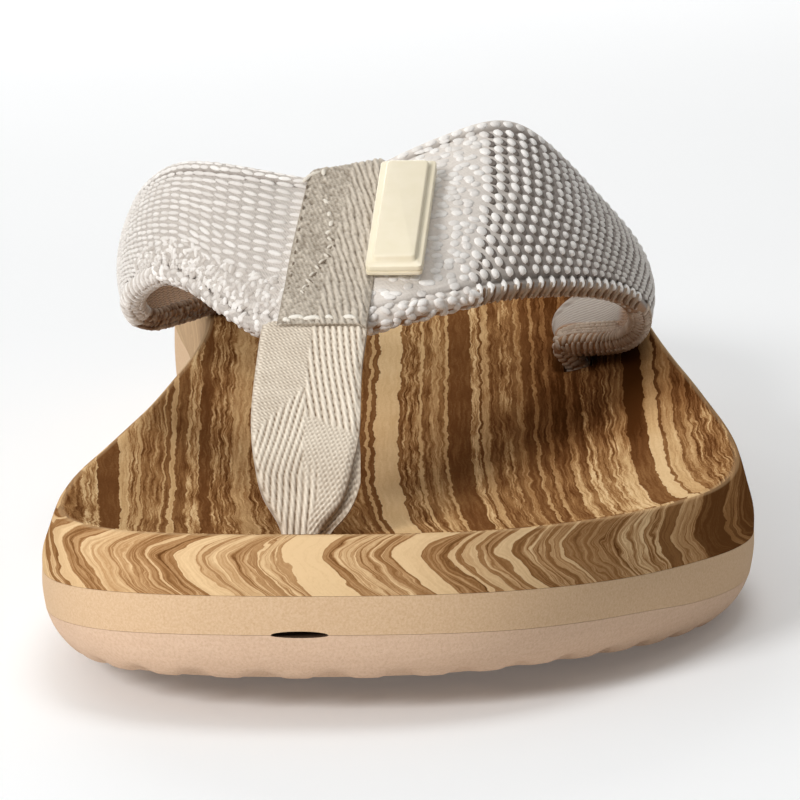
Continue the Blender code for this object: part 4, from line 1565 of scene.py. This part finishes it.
def make_hem_floats():
    """Yarn over the rolled hems, white on the arms and brown on the legs."""
    white, brown = Floats(), Floats()
    end = BAND_ARC[-1] - END_STRIP
    for arc in column_places(END_STRIP, end, 0.8):
        if abs(arc - WEBBING_ARC) < WEBBING_STRIP + 0.5:
            continue
        pale = WHITE_HEMS[0] < section_at(arc) < WHITE_HEMS[1]
        outer = int(arc > WEBBING_ARC)
        lay_back_hem(white if pale else brown, arc, outer)
        if not pale:
            lay_leg_hem(brown, arc, outer)
        elif WRAPS[0] < arc < WRAPS[1]:
            lay_lumps(white, arc, outer)
    # white wraps over the front hem of the outer arm, with brown yarn under them
    for arc in column_places(WRAPS[1], end):
        if section_at(arc) < WHITE_HEMS[1]:
            spot = arc + float(column_lean(0.02, grid_weight(arc)))
            steep, flat = math.pi / 2 - 0.2, math.pi / 2 - 0.62
            hem_dash(white, spot, 112, False, (2.6, 1.05, 1.2), between(0.8, 1.0), flat)
            hem_dash(brown, spot, 52, False, (2.8, 0.9, 0.7), 0.1, steep)
            hem_dash(brown, spot + 1.3, 58, False, (2.8, 0.7, 0.6), -0.5, steep)
    # a row of light dashes stands on the back hem of the outer arm, and short threads lie on its
    # front hem
    for arc in column_places(WEBBING_ARC + 10, end - 30):
        hem_dash(white, arc, 102, True, (2.2, 1.25, 0.8), between(0.6, 1.0))
        for angle in (-20, 15):
            size = (between(1.6, 2.6), 0.8, 0.6)
            hem_dash(brown, arc + about(0, 0.3), angle, False, size, 0.5, about(0, 0.2))
    # close wraps over the front hem of the inner arm
    wraps = np.arange(float(arc_of(WHITE_HEMS[0])), WRAPS[0], INNER_WRAP_PITCH)
    for number, arc in enumerate(wraps):
        for angle, long in INNER_WRAPS:
            size = (long * between(0.8, 1.0), between(0.78, 0.95), 1.15)
            spot = arc + about(0, 0.12)
            tone = between(0.0, 0.4) + 0.4 * (number % 2)
            hem_dash(white, spot, angle + about(0, 4), False, size, tone, 1.12)
    brown.make("leg_hem_floats", brown_yarn)
    white.make("hem_floats", float_yarn)


# Rows of beads where the outer end of the band folds under: share of its width, first and last
# section.
LEG_ROWS = ((0.1, 19.1, 21.3), (0.155, 19.2, 21.4), (0.22, 19.3, 21.0), (0.275, 19.35, 20.9))


def make_leg_floats():
    """Darker beads on the inside of the band, which shows at the outer leg."""
    floats = Floats()
    for row, (share, first, last) in enumerate(LEG_ROWS):
        for section in np.arange(first + 0.06 * (row % 2), last, 0.13):
            place, run, rise = (found[0] for found in band_point(section, share, -BAND_WALL / 2))
            floats.lay(place, run, -rise, (1.15, 1.05, 0.9), between(0.45, 1.0))
    floats.make("leg_floats", brown_yarn)


# ---------------------------------------------------------------- webbing


def wrap_rows():
    """The rows that follow those of POST, over the band and round its back edge, and the direction
    across the tape there."""
    front, back, _ = band_edges(np.array([WRAP_SECTION]))
    chord = unit(back - front)[0]
    edge, run, up = (found[0] for found in band_point(WRAP_SECTION, 0.999))

    def over(table):
        return [(*band_point(WRAP_SECTION, *row[:2])[0][0], *row[2:]) for row in table]

    turn = []
    for angle in np.radians(TURN_ANGLES):
        past = TURN_RADIUS * math.cos(angle) - TURN_INSIDE
        place = edge + chord * past + up * TURN_RADIUS * math.sin(angle)
        turn.append((*place, TURN_WIDTH, TURN_THICKNESS))
    return [*over(WRAP), *turn, *over(TUCK)], run


class Tape:
    """Evenly spaced places on a tape's middle line: its centre, side, up, width and thickness there
    and `far`, the distance from the bottom of the post."""

    def __init__(self, centre, side, up, width, thick, far):
        self.centre, self.side, self.up = centre, side, up
        self.width, self.thick, self.far = width, thick, far

    def part(self, start, end):
        kept = (self.far >= start) & (self.far <= end)
        columns = (self.centre, self.side, self.up, self.width, self.thick, self.far)
        return Tape(*(column[kept] for column in columns))

    def move(self, sideways, up):
        """Shifts each place, by numbers or by one for each place."""
        steps = self.side.T * sideways + self.up.T * up
        self.centre = self.centre + steps.T


def tape_path(step):
    """The webbing's whole way, from the sole to its tuck under the band."""
    wrap, side = wrap_rows()
    rows = np.array([*POST, *wrap])
    knots = distances(rows[:, :3])
    dense = np.linspace(0, knots[-1], 3000)
    reach = arc_lengths(spline(knots, rows, dense)[:, :3])
    count = int(reach[-1] / step)
    far = np.linspace(0, reach[-1], count)
    at = np.interp(far, reach, dense)
    made = spline(knots, rows, at)
    ahead = spline(knots, rows, np.clip(at + 0.02, 0, knots[-1]))[:, :3]
    behind = spline(knots, rows, np.clip(at - 0.02, 0, knots[-1]))[:, :3]
    run = unit(ahead - behind)
    blend = np.clip(at / knots[len(POST)], 0, 1)[:, None]
    sideways = np.array([1.0, 0.0, 0.0]) * (1 - blend) + side * blend
    sideways -= run * np.sum(sideways * run, axis=1, keepdims=True)
    sideways = unit(sideways)
    up = np.cross(sideways, run)
    return Tape(made[:, :3], sideways, up, made[:, 3], made[:, 4], far)


RIB_PITCH = 0.92
RIB_DEPTH = 0.42
FULL_HALF = 7.7  # half of the tape's full width


def steps_up(value, edge, soft):
    """0 below the edge and 1 above it, eased over `soft` to each side."""
    return np.clip((value - edge) / (2 * soft) + 0.5, 0, 1)


def ribs(phase):
    """Wide ridges with narrow grooves between them."""
    return np.abs(np.sin(math.pi * phase)) ** 0.55


def hatch(reach, far, pitch=0.62, lean=0.9):
    """Close weave of threads that lean across the tape."""
    cross = np.sin((reach + far * lean) * math.tau / pitch)
    weft = np.sin((far - reach * 0.25) * math.tau / (pitch * 1.15))
    return 0.62 + 0.22 * cross + 0.1 * weft


def speckle(shape):
    """Soft random bumps about 0."""
    bumps = about(0, 1, shape)
    for axis in (0, 1):
        bumps = (bumps + np.roll(bumps, 1, axis) + np.roll(bumps, -1, axis)) / 3
    return bumps


def tongue_relief(reach, half, far):
    """Herringbone of the tongue: leaning ribs that meet in a long arrow, and fine hatch beside."""
    place = reach / half
    # the ribs narrow with the tape, but run on straight at its foot
    narrowing = np.clip((far - 14) / 8, 0, 1)
    even = reach + (place * FULL_HALF - reach) * narrowing
    left = steps_up(-place, 0.02, 0.02)
    climb = np.clip(far - 12, 0, None)
    left_ribs = ribs((even - 0.2 * climb - 0.05 * np.sin(far * 0.4)) / RIB_PITCH)
    left_ribs = left_ribs * (0.88 + 0.12 * narrowing)
    right_ribs = ribs((even + 0.135 * far) / RIB_PITCH)
    left_ends = steps_up(19 + (place + 1) * 11 - far, 0.0, 0.7)
    right_starts = steps_up(far, 23.5 - 4.5 * place, 0.7)
    right_foot = steps_up(12 - far, 0.0, 3.0) * steps_up(0.35 - place, 0.0, 0.1)
    on_left = left_ribs * left_ends + (hatch(reach, far) + 0.07) * (1 - left_ends)
    fine = hatch(reach, far, 0.7, -0.75) + 0.08
    share = np.clip(right_starts + right_foot, 0, 1)
    low_ribs = np.where(far < 15, ribs(even / RIB_PITCH), right_ribs)
    on_right = low_ribs * share + fine * (1 - share)
    return on_left * left + on_right * (1 - left)


def crossing_relief(reach, _, far):
    """The tape over the band: close hatch on its inner half, long leaning ribs on the other."""
    from_start = far - CROSSING_START
    seam = -1.2 + 0.05 * from_start
    wander = 0.2 * np.sin(from_start * 0.3 + reach * 0.5) + 0.07 * np.sin(from_start * 1.3 + reach)
    long_ribs = ribs((reach + 0.22 * from_start + wander) / (RIB_PITCH * 1.05))
    share = steps_up(reach, seam, 0.35)
    bumps = speckle(reach.shape)
    plain = 0.474 + 0.42 * bumps + 0.3 * hatch(reach, far, 0.55)
    return (0.2 + 0.8 * long_ribs + bumps * 0.3) * share + plain * (1 - share)


TAPE_STEP = 0.22
TONGUE_END = 51.0
TONGUE_CORNERS = 45.3  # where the tongue narrows to lie hidden under the crossing tape
TONGUE_WIDTH = 15.2  # at least, from 42 on
TONGUE_DIP = 0.5  # of its end, under the crossing tape
HIDDEN_WIDTH = 11.8
BACK_LAYER = (0.5, 20.0)  # the part of the tongue that has a second layer behind it
BACK_LAYER_THICKNESS = 1.1
CROSSING_START = 43.6
CROSSING_WIDTH = 13.1
CROSSING_RISE = 0.55  # of its lower end, over the tongue
CROSSING_SHIFT = 1.1  # the crossing tape lies this far to the outer side of the tongue
TAPE_EASE = 0.35  # from a tape's edge to its ribs, and to the rim of its underside


def tape_strip(name, tape, relief_of, paint, top_count=78):
    """A closed strip of tape with its ribs drawn into the upper face."""
    width, thick, far = (column[:, None] for column in (tape.width, tape.thick, tape.far))
    rows = len(far)
    half = width / 2
    top = np.linspace(1, -1, top_count)[None, :] * (half - TAPE_EASE)
    height = relief_of(top, half, far)
    fade = np.clip((half - TAPE_EASE - np.abs(top)) / 0.5, 0, 1)
    # round the other sides: share of the half width, inset from it, share of the half thickness
    edge = [(1, 0.0, share) for share in (-0.62, 0.0, 0.62)]
    rest = [(-1, 0.0, share) for _, _, share in edge[::-1]]
    rest += [(share, TAPE_EASE, -1.0) for share in np.linspace(-1, 1, 6)]
    share, inset, high = np.array(rest + edge).T
    reach = np.hstack([top, share * (half - inset)])
    lift = np.hstack([thick / 2 + RIB_DEPTH * (height * fade - 0.6), high * thick / 2])
    relief = np.hstack([height, np.full((rows, len(high)), 0.5)])
    rings = tape.centre[:, None] + tape.side[:, None] * reach[..., None]
    rings += tape.up[:, None] * lift[..., None]
    chart = np.stack([reach, np.repeat(far, reach.shape[1], axis=1)], axis=-1)
    data = worked(skin(name, rings, {"cloth": chart}, {"relief": relief}), close_ends)
    piece(name, data, [paint], sharp=70)


def make_webbing():
    """The tongue from the sole to the band, a second layer behind its outer edge, and the tape that
    crosses the band and turns round its back edge."""
    path = tape_path(TAPE_STEP)
    tongue = path.part(0.0, TONGUE_END)
    near_end = np.clip((tongue.far - 44.0) / 7.0, 0, 1)
    # its corners show below the end of the crossing tape and the rest of it lies under the tape
    covered = steps_up(tongue.far, TONGUE_CORNERS, 0.3)
    full = np.maximum(tongue.width, TONGUE_WIDTH * steps_up(tongue.far, 42.0, 1.0))
    tongue.width = full * (1 - covered) + HIDDEN_WIDTH * covered
    tongue.move(CROSSING_SHIFT * covered, -TONGUE_DIP * near_end)
    tape_strip("tongue", tongue, tongue_relief, lower_webbing)

    behind = path.part(*BACK_LAYER)
    grow = np.clip((BACK_LAYER[1] - behind.far) / 8.0, 0, 1) * np.clip(behind.far / 3.0, 0.45, 1)
    behind.move(1.5 * grow, -0.35 - 0.75 * grow)
    behind.thick = np.full(len(behind.far), BACK_LAYER_THICKNESS)
    tape_strip("tongue_back_layer", behind, tongue_relief, lower_webbing, 60)

    crossing = path.part(CROSSING_START, math.inf)
    first = crossing.far - CROSSING_START
    crossing.move(CROSSING_SHIFT, CROSSING_RISE * np.clip(1 - first / 12.0, 0, 1))
    crossing.width = np.minimum(crossing.width, CROSSING_WIDTH)
    tape_strip("crossing_tape", crossing, crossing_relief, upper_webbing)
    return path


# Threads on the crossing tape, by their reach and the distance from its lower end. The row along
# that end: reach, length, tilt.
ROW_THREADS = (
    (-5.3, 0.9, 0.5),
    (-3.9, 2.2, 0.25),
    (-1.6, 2.5, 0.3),
    (0.9, 1.0, 0.1),
    (3.9, 1.8, 0.05),
)
ROW_CLIMB = 1.6
# The broken box stitch: reach, distance, lean.
BOX_THREADS = (
    (-0.9, 23.0, -0.5),
    (-0.7, 21.0, 0.5),
    (-1.0, 18.4, -0.5),
    (-1.6, 16.9, 0.4),
    (-2.1, 15.4, -0.5),
    (-2.7, 13.6, 0.4),
    (-3.1, 11.9, -0.5),
    (-3.5, 10.4, 0.4),
    (-3.7, 9.1, -0.4),
)
# Pale lumps of yarn drawn up beside it: reach, distance, length.
YARN_LUMPS = (
    (-1.3, 25.0, 1.3),
    (-1.1, 27.4, 1.5),
    (-1.6, 30.0, 1.4),
    (-2.4, 33.6, 2.0),
    (-6.0, 40.6, 2.2),
    (-5.0, 41.9, 3.0),
    (-3.6, 42.4, 2.4),
)
# Small holes along the tape's inner edge. They and the holes under the stitches are dark floats,
# painted shade.
HOLE_REACH = -5.7
HOLE_CLIMBS = (4.0, 39.0, 3.1)
PAINTED_HOLE_SHADE = -0.9


def make_stitches(path):
    """Thread along the lower end of the crossing tape, the broken box stitch above it, and small
    dark holes along the tape's inner edge, which are dark floats of painted shade where the tape
    meets the band."""
    threads = Floats()

    def spot(reach, climb):
        """A place on the tape's upper face, with the directions across, along and out of it."""
        i = int(np.abs(path.far - CROSSING_START - climb).argmin())
        last = len(path.far) - 1
        run = unit(path.centre[min(i + 3, last)] - path.centre[max(i - 3, 0)])
        place = path.centre[i] + path.side[i] * (reach + CROSSING_SHIFT)
        return place + path.up[i] * path.thick[i] / 2, path.side[i], run, path.up[i]

    # pale threads lie over dark holes, each with a small loop at its end; the holes are dark floats
    # of painted shade
    for reach, long, tilt in ROW_THREADS:
        place, across, run, rise = spot(reach, ROW_CLIMB + about(0, 0.2))
        lean = unit(across + run * (tilt + about(0, 0.1)))
        threads.lay(place + rise * 0.5, lean, rise, (long, 0.9, 0.7), 0.75)
        loop_end = place + across * long * 0.4 - run * 0.2 + rise * 0.5
        threads.lay(loop_end, unit(across - run * 0.6), rise, (0.9, 0.6, 0.6), 0.4)
        hole = place - run * 0.75 + across * 0.5 + rise * 0.35
        threads.lay(hole, lean, rise, (long * 0.8, 0.55, 0.4), PAINTED_HOLE_SHADE)
    for reach, climb, lean in BOX_THREADS:
        place, across, run, rise = spot(reach, climb)
        along = unit(across * lean + run * 0.7)
        threads.lay(place + rise * 0.05, along, rise, (1.2, 0.45, 0.4), 0.2)
        # a dark float under each stitch: painted shade of its hole
        under = place + across * 0.4 - rise * 0.02
        threads.lay(under, along, rise, (1.5, 0.5, 0.3), PAINTED_HOLE_SHADE)
    # painted shade: dark floats along the inner edge, where the tape meets the band
    for climb in np.arange(*HOLE_CLIMBS):
        place, _, run, rise = spot(HOLE_REACH, climb)
        threads.lay(place - rise * 0.02, run, rise, (1.1, 0.4, 0.3), PAINTED_HOLE_SHADE)
    for reach, climb, long in YARN_LUMPS:
        place, across, run, rise = spot(reach, climb)
        along = unit(run + across * about(0, 0.6))
        threads.lay(place - rise * 0.1, along, rise, (long, 0.8, 0.6), 0.3)
    threads.make("stitches", thread, 8, 6)


# ---------------------------------------------------------------- plate


# Steps of its rim and of its raised face: inset from their outline, height over the one below.
PLATE_RIM = (
    (0.5, 0.0),
    (0.1, 0.12),
    (0.0, 0.3),
    (0.0, 0.62),
    (0.4, 0.72),
    (0.4, 0.86),
    (0.0, 0.96),
    (0.0, 1.5),
    (0.12, 1.64),
    (0.4, 1.7),
)
PLATE_FACE = ((-0.25, 0.02), (0.0, 0.15), (0.1, 0.75), (0.3, 0.94), (0.7, 1.0))


def plate_ring(width, length, corner, height):
    """A rectangle with round corners."""
    points = []
    for cx, cy, start in ((1, 1, 0), (-1, 1, 90), (-1, -1, 180), (1, -1, 270)):
        for angle in np.radians(np.linspace(start, start + 90, 7)):
            x = cx * (width / 2 - corner) + corner * math.cos(angle)
            y = cy * (length / 2 - corner) + corner * math.sin(angle)
            points.append((x, y, height))
    return points


def make_badge():
    """The bare plate on the band, beside the webbing."""
    centre, _, up = (found[0] for found in band_point(BADGE_SECTION, BADGE_SHARE, BADGE_LIFT))
    front, back, _ = (found[0] for found in band_edges(np.array([BADGE_SECTION])))
    length = back - front
    length = unit(length - up * np.dot(length, up))
    side = np.cross(length, up)
    half = BADGE_THICKNESS / 2
    rings = []
    for size, steps, foot in ((BADGE_SIZE, PLATE_RIM, -half), (BADGE_FACE, PLATE_FACE, half)):
        for inset, height in steps:
            # the rim's full outline has the rounder corners
            corner = BADGE_CORNER + (0.1 if steps is PLATE_RIM and inset == 0 else 0)
            rings.append(plate_ring(size[0] - inset, size[1] - inset, corner, foot + height))
    rings = np.array(rings)
    rings = centre + rings[..., 0:1] * side + rings[..., 1:2] * length + rings[..., 2:3] * up
    data = worked(skin("badge_plate", rings), close_ends)
    made = piece("badge_plate", data, [plate_cream], sharp=50)
    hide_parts("badge")


# ---------------------------------------------------------------- build

make_outsole()
make_midsole()
make_footbed()
ground = make_band_ground()
make_band_floats()
make_hem_floats()
make_leg_floats()
make_stitches(make_webbing())
make_badge()
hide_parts("upper")

# ---------------------------------------------------------------- floor, light, camera


def make_floor():
    reach = 3.0
    data = bpy.data.meshes.new("floor")
    corners = [(-reach, -reach, 0), (reach, -reach, 0), (reach, reach, 0), (-reach, reach, 0)]
    data.from_pydata(corners, [], [(0, 1, 2, 3)])
    shader = floor_paint.node_tree.nodes["Principled BSDF"]
    shader.inputs["Emission Color"].default_value = (1, 1, 1, 1)
    shader.inputs["Emission Strength"].default_value = 0.08
    loose("floor", data, [floor_paint])


def soft_light(name, place, aim, size, power, colour=(1, 1, 1)):
    data = bpy.data.lights.new(name, "AREA")
    data.shape = "DISK"
    data.size = size
    data.energy = power
    data.color = colour
    made = placed(name, data)
    made.location = place
    made.rotation_euler = (Vector(aim) - Vector(place)).to_track_quat("-Z", "Y").to_euler()


make_floor()
soft_light("key_light", (-0.72, -1.09, 0.6), (0, -0.04, 0.03), 0.4, 13.6, (1.0, 0.995, 0.99))
soft_light("back_light", (-0.3, 1.3, 0.46), (0, 0.05, 0.03), 0.9, 7.0)
soft_light("top_light", (0.1, 0.0, 1.4), (0, 0.0, 0.03), 0.7, 4.6)

world = bpy.data.worlds.new("studio")
world.use_nodes = True
sky = world.node_tree.nodes["Background"]
sky.inputs["Strength"].default_value = 0.34
around = Tree(world.node_tree)
across, back, up = around.split(around.add("ShaderNodeTexCoord").out("Generated"))
from_back = (back * 0.4 - across * 0.4 + up * 0.5 + 0.36).clamp()
shade = around.mix(from_back, (0.16, 0.15, 0.14), (1.6, 1.58, 1.54))
around.links.new(shade.socket, sky.inputs["Color"])
bpy.context.scene.world = world
bpy.context.scene.view_settings.view_transform = "Standard"

# The camera stands in front of the toe, a little above the sandal.
LOOK_AT = Vector((-0.0009, -LENGTH / 2 * MM, 0.027))
CAMERA_REACH = 0.8
CAMERA_CLIMB = math.radians(11.5)  # of the camera over the place it looks at
CAMERA_DIP = math.radians(10.225)  # of its line of sight
lens = bpy.data.cameras.new("camera")
lens.lens = 268.9
lens.sensor_width = 36
lens.clip_start = 0.01
camera = placed("camera", lens)
camera.location = LOOK_AT + CAMERA_REACH * Vector(
    (0, -math.cos(CAMERA_CLIMB), math.sin(CAMERA_CLIMB))
)
camera.rotation_euler = (math.pi / 2 - CAMERA_DIP, 0, 0)
bpy.context.scene.camera = camera
